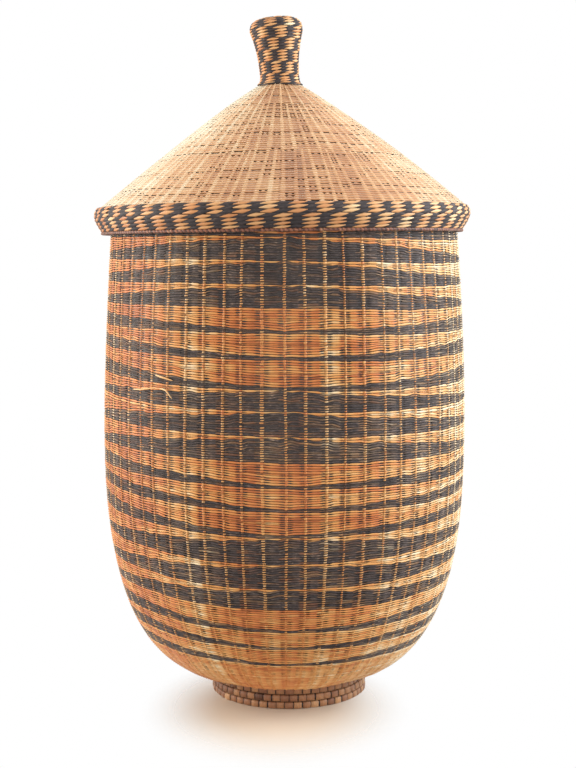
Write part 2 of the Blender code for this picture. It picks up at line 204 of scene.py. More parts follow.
# Form of a small raised piece: places along it and across it from -1 to 1, how deep its ends lie,
# millimetres of its strand map to a step, the margin round it on the bake map, its lean along the
# outline, the height of its crown, and how much narrower than its middle its ends are
PadForm = namedtuple("PadForm", "along over sink grain margin lean crown blunt", defaults=(0.0, 0.0, 0.0))
# A pad's two sides lie this share lower than its middle
PAD_FALL = 0.35
# How far painted shade darkens it at its ends and at its sides, and by which power of the way there
PAD_GAPS = ((0.6, 8), (0.5, 3))
# Strand maps of neighbouring pieces start this many millimetres apart, or rows this many pitches
NEXT_ALONG = 7.3
NEXT_ACROSS = 1.9
NEXT_ROW = 1.3
ROW_MARGIN = 0.02

# Bindings: bounds between which their size varies by stake, and width and height one by one
BINDING_FORM = PadForm(
    along=np.array([-1.0, -0.7, 0.0, 0.7, 1.0]),
    over=np.array([-1.0, 0.0, 1.0]),
    sink=0.55 * MM,
    grain=(1.1, 0.8),
    margin=0.08,
    lean=0.12 * MM,
    crown=0.65 * MM,
    blunt=0.3,
)
BINDING_SIZES = (0.7, 1.08)
BINDING_SIZE = RANDOM.uniform(*BINDING_SIZES, STAKES)
BINDING_WIDTHS = (0.85, 1.12)
BINDING_HEIGHTS = (0.85, 1.1)
BINDING_STRAY = 0.2 * MM
# On the flat base only every fourth stake is bound
BASE_STAKE_STEP = 4
# Over dyed wefts they are wider and flatter, and the narrow ones darker
DARK_PAD_WIDTH = 1.1
DARK_PAD_HEIGHT = 0.28
DARK_PAD_TONE = 0.72
THIN_PAD_SHADE = 0.6
# Over light wefts they are higher, and their edges darker with painted shade, where they hold the rows in
LIGHT_PAD_HEIGHT = (0.3, 0.14)
LIGHT_PAD_GAP = (0.2, 0.15)
LIGHT_PAD_TONE = 0.57
LOW_PAD_GLOW = 0.04
PAD_SPREAD = 0.07
# They are painted lighter at the left and at the right edge, between two sines of the bearing: a painted
# sheen
EDGE_GLOWS = (0.2, 0.3)
EDGE_GLOW_START = (0.75, 0.96)
# In the thin bands some took up dye, most of them towards the seams
SOAKED_SHARE = 0.5
SOAKED_DYE = 0.85
SOAKED_END = (0.5, 0.85)

# Broken weft ends on the left of the belly, each by bearing, height and distance off the wall
LOOSE_END_RADIUS = 0.75 * MM
LOOSE_ENDS = np.array((
    ((-0.89, 334.5 * MM, 1.6 * MM), (-0.80, 335.5 * MM, 1.8 * MM), (-0.70, 338.5 * MM, -0.6 * MM)),
    ((-0.69, 337.5 * MM, -0.6 * MM), (-0.63, 337.0 * MM, 2.6 * MM), (-0.59, 328.5 * MM, 2.2 * MM)),
    ((-0.72, 350.5 * MM, -0.6 * MM), (-0.66, 348.8 * MM, 1.9 * MM), (-0.59, 346.0 * MM, 1.0 * MM)),
))
LOOSE_END_RINGS = 17
LOOSE_END_SIDES = 6
# Width and thickness of such an end as shares of its radius, and how bluntly it tapers
LOOSE_END_SECTION = (1.3, 0.7)
LOOSE_END_TAPER = 0.35
LOOSE_END_TONE = 0.85
LOOSE_END_ROUNDS = 3
LOOSE_END_GRAIN = (1.3, 0.5)
LOOSE_END_MARGIN = 0.05

# Cone of the lid: it bulges, and next to the knob it sinks by a high power
LID_BULGE = 3.0 * MM
NECK_DROP = 3.0 * MM
NECK_DROP_POWER = 8
NECK_RADIUS = 19.8 * MM
LID_STEPS = 400
RING_SLACK = 0.05 * MM
# Ribs in three zones from the neck out, the radii between the zones, and the ribs' share of a gap
LID_ZONES = ("neck", "middle", "eave")
LID_RIBS = (32, 64, 96)
FORK_RADII = (60.0 * MM, 128.0 * MM)
RIB_SHARES = (0.17, 0.25, 0.25)
LID_SLIT = 0.14
LID_PANEL_PLACES = (0.42, 0.58)
# Rows of the lid. Some lie open, along two to five arcs round the lid
LID_ROW_PITCH = 3.5 * MM
LID_LIFT = -0.3 * MM
OPEN_ROW_SHARE = 0.5
OPENED = (0.75, 1.0)
BEATEN = (0.0, 0.14)
ARC_COUNTS = (2, 6)
ARC_SHAPE = (0.6, 0.7)
ARC_SPREAD = (0.45, 1.0)
BESIDE_STAKE = 0.95
# Single openings in closed rows
HOLE_SHARE = 0.16
HOLE_SIZE = 0.9
# The wefts rise over the lid's stakes and dip between them, by section as on the wall
LID_PULL = np.array([0.08, -0.16, -0.16, 0.08, 0.18, 0.18]) * MM
# Over the stakes the wefts are lighter, and just beside them darker as painted shade at the foot of each
# ridge
LID_STAKE_TONE = np.array([-0.02, 0.15, 0.15, -0.05, 0.0, 0.0])
LID_NARROWING = np.array([0.66, 0.15, 0.15, 0.66, 0.45, 0.45])
LID_ROW_TONE = (0.43, 0.53)
LID_PANEL_SPREAD = 0.04
# How much painted shade darkens a closed groove of the lid beside one of the wall, and how much more an open
# one
LID_GROOVE = (0.3, 1.2)
# Painted shade and light: the cone is darker front and back and paler at its sides, most at its left; it is
# also lighter towards the knob
LID_SIDE_SHADE = 0.2
LID_LEFT_SHADE = 0.12
LID_TOP_GLOW = 0.08
LID_GLOW_PLACE = 0.6
# Raised pale crossings next to the knob
RIB_FORM = PadForm(
    along=np.array([-1.0, -0.6, 0.0, 0.6, 1.0]),
    over=np.array([-1.0, -0.4, 0.4, 1.0]),
    sink=0.5 * MM,
    grain=(1.1, 0.9),
    margin=0.05,
    lean=0.1 * MM,
    crown=0.25 * MM,
    blunt=0.1,
)
RIB_WIDTHS = (0.9, 1.1)
RIB_HEIGHT = 0.52
# The ribs' ends and sides take this share of a pad's painted shade
RIB_GAP = 0.15
RIB_TONE = (0.78, 0.05)
# Stakes under the cone, in three sets, with their place between two ribs of the first zone at the
# second fork and at the eave
LID_STAKE_SETS = ("lid_stakes_long", "lid_stakes_forked", "lid_stakes_added")
PLACES_AT_FORK = (0.0, 1 / 2, 3 / 4)
PLACES_AT_EAVE = (0.0, 1 / 3, 2 / 3)
STAKE_DEPTH = 3.7 * MM
STAKE_HALF_WIDTH = 1.5 * MM
STAKE_HALF_THICKNESS = 1.3 * MM
STAKE_INSET = 1.0 * MM
STAKE_CROWDING = 0.42
STAKE_RINGS = 13
STAKE_SIDES = 6
STAKE_TONE = (0.5, 0.1)
STAKE_GRAIN = (14.0, 1.4)
STAKE_MARGIN = 0.1

# The lid sits a little to the left and its knob leans the same way, as hand work does
EAVE_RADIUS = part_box("lid_band")[1].x
LEAN_HEIGHTS = (0.48, 0.57, 0.645, 0.71)
LEAN_SHIFTS = (-1.8 * MM, -0.8 * MM, -3.4 * MM, -8.0 * MM)
LID_TILT = 0.0055
KNOB_TILT = 0.08
KNOB_TILT_HEIGHTS = (0.68, 0.709)

# Face of the eave band, as steps in and up from the solid's corner, and the mean that smooths them
BAND_INSETS = np.array([8.6, 5.6, 3.0, 1.1, 0.3, 0.9, 4.2]) * MM
BAND_RISES = np.array([-0.6, 3.6, 7.8, 12.2, 16.6, 20.6, 24.2]) * MM
BAND_POINTS = 121
BAND_SMOOTHING = 25
BAND_STITCHES = 96
BAND_ROWS = 7
BAND_PHASE = 0.12
BAND_TURN = 0.12
BAND_CROWN = 0.9 * MM

# Knob
KNOB_WAIST_RADIUS = 19.8 * MM
KNOB_TOP_RADIUS = 27.0 * MM
KNOB_CROWN_HEIGHT = 14.0 * MM
KNOB_DROP = 1.4 * MM
KNOB_SKIRT_RADII = (23.8 * MM, 22.0 * MM, 20.8 * MM, 20.2 * MM)
KNOB_SKIRT_RISES = (-3.6 * MM, -2.5 * MM, -0.6 * MM, 2.4 * MM)
KNOB_NECK_START = 0.12
KNOB_FLARE_POWER = 2.3
KNOB_CROWN_POWER = 0.62
KNOB_NECK_STEPS = 180
KNOB_CROWN_STEPS = 200
KNOB_STITCHES = 16
KNOB_ROW_PITCH = 3.0 * MM
KNOB_DRIFT = (0.72, 0.3)
KNOB_CROWN = 0.8 * MM
KNOB_END = 0.999

# Stitches of band and knob: dark and light change places every four rows. Sizes are shares of the
# step round and of the row pitch, which vary between two bounds
STITCH_FORM = PadForm(
    along=np.linspace(-1.0, 1.0, 9),
    over=np.linspace(-1.0, 1.0, 5),
    sink=0.9 * MM,
    grain=(2.2, 0.9),
    margin=0.04,
)
TIER_ROWS = 4
STITCH_LEAN = 0.32
STITCH_WIDTH = 0.95
STITCH_WIDTHS = (0.88, 1.08)
DYED_STITCH_HEIGHT = 0.6
LIGHT_STITCH_HEIGHT = 0.56
STITCH_HEIGHTS = (0.9, 1.08)
# Powers by which dyed and light stitches fall to their points, and how they stand off
STITCH_POWERS = (1.6, 0.95)
STITCH_RISES = (-0.15 * MM, 0.1 * MM)
STITCH_POINT = 0.04
# How a stitch rises from its ends and falls to its sides, and how painted shade darkens it at both
STITCH_RISE_POWER = 0.55
STITCH_FALL = 0.4
STITCH_GAPS = ((0.8, 6), (0.7, 4))
# Spread of the stitches' places by tier, one by one and up or down
TIER_STRAY = 0.06
STITCH_STRAY = 0.04
STITCH_UP_STRAY = 0.05
STITCH_TONE = (0.5, 0.1)
# Painted light and shade by the sine of the bearing: stitches lighter towards the right and darker towards
# the left
STITCH_SIDE_TONE = 0.1
STITCH_SIDE_PHASE = 0.4

# Wrapped rings of rim and lid
RIM_WRAPS = 180
BORDER_WRAPS = 260
# How much thinner than its solid the lid's border is drawn, up and in under the eave
BORDER_SLACK = 0.5 * MM
WRAP_BULGE = 0.5 * MM
WRAP_MIDDLE = 0.75
WRAP_STEPS = 4
WRAP_SIDES = 12
WRAP_SLANT = 0.6
WRAP_WAVES = ((0.25, 17, math.inf, 0.0), (0.18, 41, math.inf, 1.0))
# Painted shade in the hollows between the wraps, by how low the ring lies there
WRAP_GAP = (1.25, -1.6)
WRAP_TONE = (0.42, 0.2)
WRAP_GRAIN = (1.2, 1.0)

# Foot: bricks as rounded boxes whose ends are drawn in, round a core painted in full shade
FOOT_ROWS = ("lower", "middle", "upper")
FOOT_RADIUS = 82.5 * MM
FOOT_WIDTH = 9.0 * MM
FOOT_SHIFT = 3.5 * MM
FOOT_BRICKS = 56
FOOT_SIDES = 16
FOOT_SQUARENESS = 0.45
BRICK_HALF = 0.475
BRICK_SIZES = (0.93, 1.03)
BRICK_STRAY = 0.03
BRICK_WOBBLE = 0.25 * MM
BRICK_ALONG = np.array([-1.0, -0.92, 0.0, 0.92, 1.0])
BRICK_INSET = np.array([0.84, 1.0, 1.0, 1.0, 0.84])
BRICK_LEAST = 0.2
# Painted shade at each brick's ends and along its top, full on the upper row under the body
BRICK_END_GAP = np.array([1.0, 0.1, 0.0, 0.1, 1.0])
BRICK_TOP_GAPS = (0.5, 0.5, 1.0)
BRICK_TONE = (0.5, 0.16)
BRICK_TOP_POWER = 6
BRICK_GRAIN = (1.6, 2.6)
BRICK_MARGIN = 0.04
CORE_SHARE = 0.88
CORE_COLUMNS = 96
CORE_GRAIN = (1.6, 5.0)
CORE_TONE = 0.5

# Inner faces of the twined skins: rows, columns and depth of each under the strands
BACKINGS = {
    "wall_inside": (90, 120, 1.2 * MM),
    "lid_inside": (40, 192, 1.5 * MM),
    "lid_band_inside": (12, 192, 1.0 * MM),
    "knob_inside": (24, 48, 1.0 * MM),
}
BACKING_MARGIN = 0.01
BACKING_THICKNESS = 0.7 * MM
BACKING_GIRTH = math.tau * 150.0
BACKING_TONE = 0.4
# The face under the strands, seen through the slits, is painted in full shade; the inner face takes this
# share
BACKING_GAP = 0.2

# Colours by tone, from dark to light. The wall's wefts are split palm leaf that has turned golden
WALL_STOPS = (
    (0.0, "#8A461C"), (0.3, "#C06C34"), (0.45, "#D88444"), (0.55, "#DA924E"), (0.7, "#E4A660"),
    (0.85, "#EEBE82"), (1.0, "#F8E0B8"),
)
# Light has bleached the lid's, which gives them a pale and dusty look
LID_STOPS = (
    (0.0, "#94582E"), (0.3, "#BE8250"), (0.45, "#D09C68"), (0.56, "#DCB080"), (0.7, "#E0C6A0"),
    (1.0, "#F2ECD8"),
)
# Stitches of eave and knob are plump and clean, and cream where they aren't dyed
STITCH_STOPS = ((0.0, "#A8663A"), (0.35, "#CE8A54"), (0.65, "#E6B076"), (1.0, "#FAE8BC"))
# Rim and border are wrapped with an old red-brown strand, dull from wear
BORDER_STOPS = ((0.0, "#44261C"), (0.4, "#824F3B"), (0.8, "#AA7054"), (1.0, "#C49870"))
# Bindings inside the basket have stayed dark and plain
BACK_STOPS = ((0.0, "#5A3015"), (0.5, "#80502A"), (1.0, "#AD7845"))
# The foot is sewn with coarse brown splints, matt and fibrous
FOOT_STOPS = ((0.0, "#563320"), (0.4, "#84583E"), (0.7, "#A67852"), (1.0, "#CCA276"))
# Black dye on wefts and stitches, by spots, from where it took well to where bare fibre shows
DYED_WEFT = ((0.46, "#151010"), (0.64, "#2C2424"), (0.77, "#423735"), (0.9, "#64554E"), (1.0, "#A48B74"))
DYED_STITCH = ((0.46, "#120D0E"), (0.64, "#241D1F"), (0.77, "#352C2D"), (0.9, "#4E4340"), (1.0, "#8C7A6A"))
# Cane: size of its mottling across and up, lightness of its two tones, and roughness
CANE_COLOUR = "#A06A3A"
CANE_GRAIN = (2.5 * MM, 2.5 * MM, 25.0 * MM)
CANE_DETAIL = 2.0
CANE_TONES = (0.55, 1.35)
CANE_ROUGHNESS = 0.6
# Straw: length and width of its streaks and flecks in mm of the strand map, and size of its patches
STREAK = (7.0, 0.35, 1.0)
SPLINT_STREAK = (5.0, 0.7, 1.0)
FLECK = (5.0, 1.1, 1.0)
PATCH = (30 * MM, 30 * MM, 30 * MM)
STREAK_NOISE = {"Detail": 3.0, "Roughness": 0.6}
FLECK_NOISE = {"Detail": 2.0, "Roughness": 0.7}
PATCH_NOISE = {"Detail": 2.0, "Roughness": 0.5}
# How far streaks and patches change the tone, about a mean that leaves it as it is
STREAK_TONE = 0.7
PATCH_TONE = 0.5
MEAN_TONE = -0.6
PATCH_SPOTS = 0.45
# Streaks roughen the finish by this much in all, and dye by this much more
STREAK_ROUGHNESS = 0.3
DYE_ROUGHNESS = 0.2
RELIEF = 0.3
RELIEF_DEPTH = 0.4 * MM
STRAW_IOR = 1.5
SHEEN_ROUGHNESS = 0.35
SHEEN_TINT = "#FFF6E2"

# Stage: light of the surroundings on the object, where the camera sees them white
SURROUND_LIGHT = 0.44
SURROUND_COLOUR = "#FFFFFF"
FLOOR_HALF = 1.6
FLOOR_COLOUR = "#D7CAB8"
FLOOR_ROUGHNESS = 0.8
# The floor fades out over an ellipse: its offset, its two scales and the fade's start and end
FADE_OFFSET = (0.07, 0.37, 0.0)
FADE_SCALE = (7.0, 5.3, 1.0)
FADE_FROM = 0.35
FADE_TO = 1.0
# Lamps by place, target, size in metres, power in watts and colour
LAMPS = {
    "left_softbox": ((-1.5, 0.0, 0.7), (0, 0, 0.4), 1.1, 31.0, "#FAF2E8"),
    "right_softbox": ((1.45, -0.15, 0.9), (0, 0, 0.35), 1.1, 36.5, "#F5F8FB"),
    "front_softbox": ((0.0, -2.3, 0.5), (0, 0, 0.3), 1.0, 16.0, "#FFF4E8"),
    "top_softbox": ((0.0, 0.2, 2.0), (0, 0, 0.4), 1.2, 5.0, "#FFFFFF"),
}
CAMERA_PLACE = (3.7 * MM, -1.5125, 0.4694)
CAMERA_TILT = math.radians(90.0 - 5.353)
CAMERA_ROLL = math.radians(-0.25)
CAMERA_LENS = 67.03
CAMERA_SENSOR = 36.0


def linear(code):
    """Linear colour of an sRGB hex code."""
    parts = [int(code[at : at + 2], 16) / 255 for at in (1, 3, 5)]
    return tuple(part / 12.92 if part <= 0.04045 else ((part + 0.055) / 1.055) ** 2.4 for part in parts)


def opaque(code):
    """Linear colour of an sRGB hex code with full alpha."""
    return (*linear(code), 1.0)


def set_inputs(node, inputs):
    """Give sockets a value, another node's output, or another node, which stands for its first."""
    for key, value in inputs.items():
        if isinstance(value, bpy.types.Node):
            value = value.outputs[0]
        if isinstance(value, bpy.types.NodeSocket):
            node.id_data.links.new(value, node.inputs[key])
        else:
            node.inputs[key].default_value = value


def add_node(tree, kind, inputs=None, stops=(), **settings):
    """Add a node with its settings and inputs, and on a colour ramp its (place, hex colour) stops."""
    node = tree.nodes.new(kind)
    for key, value in settings.items():
        setattr(node, key, value)
    set_inputs(node, inputs or {})
    points = node.color_ramp.elements if stops else ()
    while len(points) < len(stops):
        points.new(0.5)
    for point, (place, code) in zip(points, stops):
        point.position = place
        point.color = opaque(code)
    return node


def new_finish(name):
    """A new material with its node tree and its shader."""
    finish = bpy.data.materials.new(name)
    finish.use_nodes = True
    return finish, finish.node_tree, finish.node_tree.nodes["Principled BSDF"]


def plain_cane(name):
    """Finish of split cane: plain pale brown with a slow mottling, seen only inside the basket."""
    finish, tree, shader = new_finish(name)
    place = add_node(tree, "ShaderNodeTexCoord").outputs["Object"]
    scale = [1 / size for size in CANE_GRAIN]
    squeeze = add_node(tree, "ShaderNodeMapping", {"Vector": place, "Scale": scale})
    mottle = add_node(tree, "ShaderNodeTexNoise", {"Vector": squeeze, "Scale": 1.0, "Detail": CANE_DETAIL})
    low, high = ((*(tone * part for part in linear(CANE_COLOUR)), 1.0) for tone in CANE_TONES)
    # The colours of a Mix node are its inputs 6 and 7, and its output 2
    colour = add_node(tree, "ShaderNodeMix", {0: mottle, 6: low, 7: high}, data_type="RGBA").outputs[2]
    set_inputs(shader, {"Base Color": colour, "Roughness": CANE_ROUGHNESS})
    return finish


def straw(name, light_stops, groove, dark_stops=DYED_WEFT, streak=STREAK, roughness=0.45, sheen=0.15):
    """Finish of split palm straw, natural and dyed.

    Fine streaks follow the strand and broad patches vary the shade. Grooves are painted with shade, and
    with some of the dust they hold, by darkening towards a groove colour. Dye takes unevenly: pale flecks
    of bare fibre stay in it.
    """
    finish, tree, shader = new_finish(name)
    strand = add_node(tree, "ShaderNodeUVMap", uv_map="strand")
    place = add_node(tree, "ShaderNodeTexCoord").outputs["Object"]
    traits = [add_node(tree, "ShaderNodeAttribute", attribute_name=mark) for mark in ("tone", "dye", "gap")]
    tone, dye, gap = (node.outputs["Fac"] for node in traits)
    noises = []
    for spot, grain, noise in (
        (strand, streak, STREAK_NOISE), (strand, FLECK, FLECK_NOISE), (place, PATCH, PATCH_NOISE)
    ):
        scale = [1 / size for size in grain]
        squeeze = add_node(tree, "ShaderNodeMapping", {"Vector": spot, "Scale": scale})
        noises.append(add_node(tree, "ShaderNodeTexNoise", {"Vector": squeeze, "Scale": 1.0, **noise}))
    fibre, fleck, patch = noises
    inputs = {0: fibre, 1: STREAK_TONE, 2: MEAN_TONE}
    shade = add_node(tree, "ShaderNodeMath", inputs, operation="MULTIPLY_ADD")
    shade = add_node(tree, "ShaderNodeMath", {0: patch, 1: PATCH_TONE, 2: shade}, operation="MULTIPLY_ADD")
    value = add_node(tree, "ShaderNodeMath", {0: tone, 1: shade}, operation="ADD")
    spots = add_node(tree, "ShaderNodeMath", {0: patch, 1: PATCH_SPOTS, 2: fleck}, operation="MULTIPLY_ADD")
    light = add_node(tree, "ShaderNodeValToRGB", {"Fac": value}, light_stops)
    dark = add_node(tree, "ShaderNodeValToRGB", {"Fac": spots}, dark_stops)
    dyed = add_node(tree, "ShaderNodeMix", {0: dye, 6: light, 7: dark}, data_type="RGBA").outputs[2]
    # Painted shade: the gap mark darkens the colour towards the groove colour
    inputs = {0: gap, 6: dyed, 7: opaque(groove)}
    dust_and_shade = add_node(tree, "ShaderNodeMix", inputs, data_type="RGBA").outputs[2]
    inputs = {0: fibre, 1: STREAK_ROUGHNESS, 2: roughness - STREAK_ROUGHNESS / 2}
    rough = add_node(tree, "ShaderNodeMath", inputs, operation="MULTIPLY_ADD")
    rough = add_node(tree, "ShaderNodeMath", {0: dye, 1: DYE_ROUGHNESS, 2: rough}, operation="MULTIPLY_ADD")
    inputs = {"Strength": RELIEF, "Distance": RELIEF_DEPTH, "Height": fibre}
    set_inputs(shader, {
        "Base Color": dust_and_shade,
        "Roughness": rough,
        "Normal": add_node(tree, "ShaderNodeBump", inputs),
        "IOR": STRAW_IOR,
        "Sheen Weight": sheen,
        "Sheen Roughness": SHEEN_ROUGHNESS,
        "Sheen Tint": opaque(SHEEN_TINT),
    })
    return finish


def make_finishes():
    """All finishes of the basket, by name."""
    return {
        # The third value of each straw finish is its groove colour, the colour of its painted shade
        "wall": straw("split_palm_weft", WALL_STOPS, "#3A1408", roughness=0.5, sheen=0.1),
        "lid": straw("bleached_palm_weft", LID_STOPS, "#3E1B0A", sheen=0.9),
        "stitch": straw("two_colour_stitch", STITCH_STOPS, "#140907", DYED_STITCH, roughness=0.5, sheen=0.0),
        "back": straw("inner_binding", BACK_STOPS, "#160A05"),
        "stake": plain_cane("split_cane"),
        "border": straw("wrapped_border", BORDER_STOPS, "#120705", roughness=0.55),
        "foot": straw("brown_splint", FOOT_STOPS, "#1E0B05", streak=SPLINT_STREAK, roughness=0.55),
    }


def even_turn(count):
    """Even bearings round Z."""
    return math.tau / count * np.arange(count)


def spun(radius, bearing, height):
    """Points at a radius, a bearing and a height."""
    spots = np.broadcast_arrays(radius * np.sin(bearing), -radius * np.cos(bearing), height)
    return np.stack(spots, axis=-1)


def waves(table, bearing, run):
    """Sum of size sin(count bearing + run / length + phase) over the waves of a table."""
    total = 0.0
    for size, count, length, phase in table:
        total = total + size * np.sin(count * bearing + run / length + phase)
    return total


def row_waver(bearing, run):
    """Waver of the rows, in metres along the outline: a few slow waves round the wall."""
    size, count, swing, length = SWINGING_WAVE
    swinging = size * np.sin(count * bearing + swing * np.sin(run / length))
    return MM * (waves(ROW_WAVES, bearing, run) + swinging)


def dent(bearing, run):
    """Slow unevenness of a twined skin, in metres outward."""
    return MM * waves(DENT_WAVES, bearing, run)


def smooth_step(low, high, value):
    """Nought up to low, one from high, and a smooth cubic between."""
    share = np.clip((value - low) / (high - low), 0.0, 1.0)
    return share * share * (3 - 2 * share)


def at_least(low, share):
    """A share from nought to one, squeezed between low and one."""
    return low + (1 - low) * share


def smoothed(values, width):
    """Running mean over an odd number of values, which leaves both ends in place."""
    padded = np.pad(values, width // 2, mode="reflect", reflect_type="odd")
    return np.convolve(padded, np.ones(width) / width, "valid")


def per_patch(values):
    """One value for each patch, shaped to act on the patch's grid of points."""
    return values[:, None, None]


def in_sections(values):
    """One value for each panel, repeated over the panel's sections."""
    return np.repeat(values, SECTIONS, axis=-1)


class Outline:
    """Outer line of a turned surface, run from its lower or inner end upward."""

    def __init__(self, radii, heights, slanted=False):
        self.radii = np.asarray(radii, float)
        self.heights = np.asarray(heights, float)
        steps = np.hypot(np.diff(self.radii), np.diff(self.heights))
        self.run = np.concatenate([[0.0], np.cumsum(steps)])
        across = np.gradient(self.radii, self.run)
        up = np.gradient(self.heights, self.run)
        size = np.hypot(across, up)
        self.out_across = up / size
        self.out_up = -across / size
        self.length = self.run[-1]
        self.slanted = slanted

    def radius(self, run):
        """Radius at a run."""
        return np.interp(run, self.run, self.radii)

    def height(self, run):
        """Height at a run."""
        return np.interp(run, self.run, self.heights)

    def run_at_height(self, height):
        """Run at a height, on an outline that rises all the way."""
        return np.interp(height, self.heights, self.run)

    def place(self, bearing, run, out):
        """Points at a bearing and a run, moved out square to the surface."""
        radius = self.radius(run) + out * np.interp(run, self.run, self.out_across)
        return spun(radius, bearing, self.height(run) + out * np.interp(run, self.run, self.out_up))

    def place_by_hand(self, bearing, run, out):
        """The same with the dents of the surface and the stray of the stakes."""
        out = out + dent(bearing, run)
        return self.place(bearing + waves(STAKE_WAVES, bearing, run), run, out)

    def lie(self, bearing, run):
        """How far a row strays along the outline: the waver of the hand, and on the wall its slant."""
        stray = row_waver(bearing, run)
        if self.slanted:
            height = self.height(run)
            left = np.interp(height, SLANT_HEIGHTS, SLANT_LEFT)
            right = np.interp(height, SLANT_HEIGHTS, SLANT_RIGHT)
            side = np.sin(bearing)
            climb = (right - left) / 2 * side + (right + left) / 2 * side**2
            drop = np.interp(height, DROP_HEIGHTS, DROP_LEFT, left=0.0, right=0.0)
            climb = climb - drop * np.clip(-side, 0.0, 1.0) ** DROP_POWER
            stray = stray + climb / np.maximum(np.interp(run, self.run, self.out_across), STEEP)
        return stray


def wall_outline():
    """Flat base, then a bowl and a shoulder.

    On the bowl r = base + (belly - base) cos(t)^(2/p), and the height falls from the belly's by
    sin(t)^(2/p). On the shoulder r falls from the belly's to the rim's by a power of the rise.
    """
    angle = np.pi / 2 * (1 - np.linspace(0.0, 1.0, BOWL_STEPS + 1))
    across = np.clip(np.cos(angle), 0.0, 1.0) ** (2 / BOWL_POWER)
    down = np.sin(angle) ** (2 / BOWL_POWER)
    bowl_r = BASE_RADIUS + (BELLY_RADIUS - BASE_RADIUS) * across
    bowl_z = BELLY_HEIGHT - (BELLY_HEIGHT - BASE_HEIGHT) * down
    rise = np.linspace(0.0, 1.0, SHOULDER_STEPS + 1)[1:]
    shoulder_r = BELLY_RADIUS - (BELLY_RADIUS - RIM_RADIUS) * rise**SHOULDER_POWER
    shoulder_z = BELLY_HEIGHT + (WALL_HEIGHT - BELLY_HEIGHT) * rise
    radii = np.concatenate([[0.0], bowl_r, shoulder_r])
    return Outline(radii, np.concatenate([[BASE_HEIGHT], bowl_z, shoulder_z]), slanted=True)


def corner_of(node, pick):
    """Radius and upper height of the ring of a turned solid that pick chooses by its radius."""
    spots = np.array([v.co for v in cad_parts[node].data.vertices], float)
    radii = np.hypot(spots[:, 0], spots[:, 1])
    end = pick(radii)
    return end, spots[np.abs(radii - end) < RING_SLACK, 2].max()


def lid_outline():
    """Straight line from the eave to the neck, bulged by a parabola of its share s.

    Next to the knob the line sinks by a high power of s, as the stakes bend up into the knob.
    """
    eave_r, eave_z = corner_of("lid_weave", np.max)
    neck_r, neck_z = corner_of("lid_weave", np.min)
    share = np.linspace(0.0, 1.0, LID_STEPS + 1)
    base = eave_z * (1 - share) + neck_z * share
    bulge = 4 * LID_BULGE * share * (1 - share)
    return Outline(eave_r + (neck_r - eave_r) * share, base + bulge - NECK_DROP * share**NECK_DROP_POWER)


def band_outline():
    """A face that leans out from the border to the eave corner and rounds in over it, run upward."""
    low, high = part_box("lid_band")
    lines = (high.x - BAND_INSETS, low.z + BAND_RISES)
    share = np.linspace(0.0, 1.0, len(BAND_INSETS))
    fine = np.linspace(0.0, 1.0, BAND_POINTS)
    return Outline(*(smoothed(np.interp(fine, share, line), BAND_SMOOTHING) for line in lines))


def knob_outline():
    """Skirt over the cone, neck that flares by a power of its height, and a superellipse over the top."""
    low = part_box("knob_weave")[0].z
    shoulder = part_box("knob_cap")[1].z - KNOB_DROP - KNOB_CROWN_HEIGHT
    share = np.linspace(KNOB_NECK_START, 1.0, KNOB_NECK_STEPS + 1)
    neck_r = KNOB_WAIST_RADIUS + (KNOB_TOP_RADIUS - KNOB_WAIST_RADIUS) * share**KNOB_FLARE_POWER
    neck_z = low + (shoulder - low) * share
    angle = np.pi / 2 * np.linspace(0.0, 1.0, KNOB_CROWN_STEPS + 1)[1:]
    crown_r = KNOB_TOP_RADIUS * np.clip(np.cos(angle), 0.0, 1.0) ** KNOB_CROWN_POWER
    crown_z = shoulder + KNOB_CROWN_HEIGHT * np.sin(angle) ** KNOB_CROWN_POWER
    heights = np.concatenate([low + np.array(KNOB_SKIRT_RISES), neck_z, crown_z])
    return Outline(np.concatenate([KNOB_SKIRT_RADII, neck_r, crown_r]), heights)


def patch_faces(patches, around, across, close_around, close_across, keep=None):
    """Quads of many grids of one size, and each corner's place on its grid.

    Corners run along the first way and then up the second, so that a grid whose ways are bearing
    and run faces outward. keep drops the faces between two marked columns.
    """
    steps_around = around if close_around else around - 1
    steps_across = across if close_across else across - 1
    patch, along, over = np.meshgrid(
        np.arange(patches), np.arange(steps_around), np.arange(steps_across), indexing="ij"
    )
    if keep is not None:
        chosen = np.broadcast_to(keep[:, :steps_around, None], patch.shape)
        patch, along, over = patch[chosen], along[chosen], over[chosen]
    patch, along, over = patch.reshape(-1, 1), along.ravel(), over.ravel()
    next_along = np.stack([along, along + 1, along + 1, along], axis=1)
    next_over = np.stack([over, over, over + 1, over + 1], axis=1)
    quads = (patch * around + next_along % around) * across + next_over % across
    return quads, patch, next_along, next_over


def in_cell(index, count, share, margin):
    """Place on the bake map of a share of one cell out of a count, inside the cell's margin."""
    return (index + margin + (1 - 2 * margin) * share) / count


def marks(gap, dye, tone):
    """The three marks of every point, of the gap's shape."""
    return {"gap": gap, "dye": np.broadcast_to(dye, gap.shape), "tone": np.broadcast_to(tone, gap.shape)}


def leaned(points):
    """Points of the lid as it sits: a shift by height, and a tilt that is greatest at the knob's crown."""
    shift = np.interp(points[:, 2], LEAN_HEIGHTS, LEAN_SHIFTS)
    crown = np.interp(points[:, 2], KNOB_TILT_HEIGHTS, (0.0, KNOB_TILT))
    lift = crown * points[:, 0] + LID_TILT * (points[:, 0] + EAVE_RADIUS)
    return points + np.stack([shift, np.zeros_like(shift), lift], axis=-1)


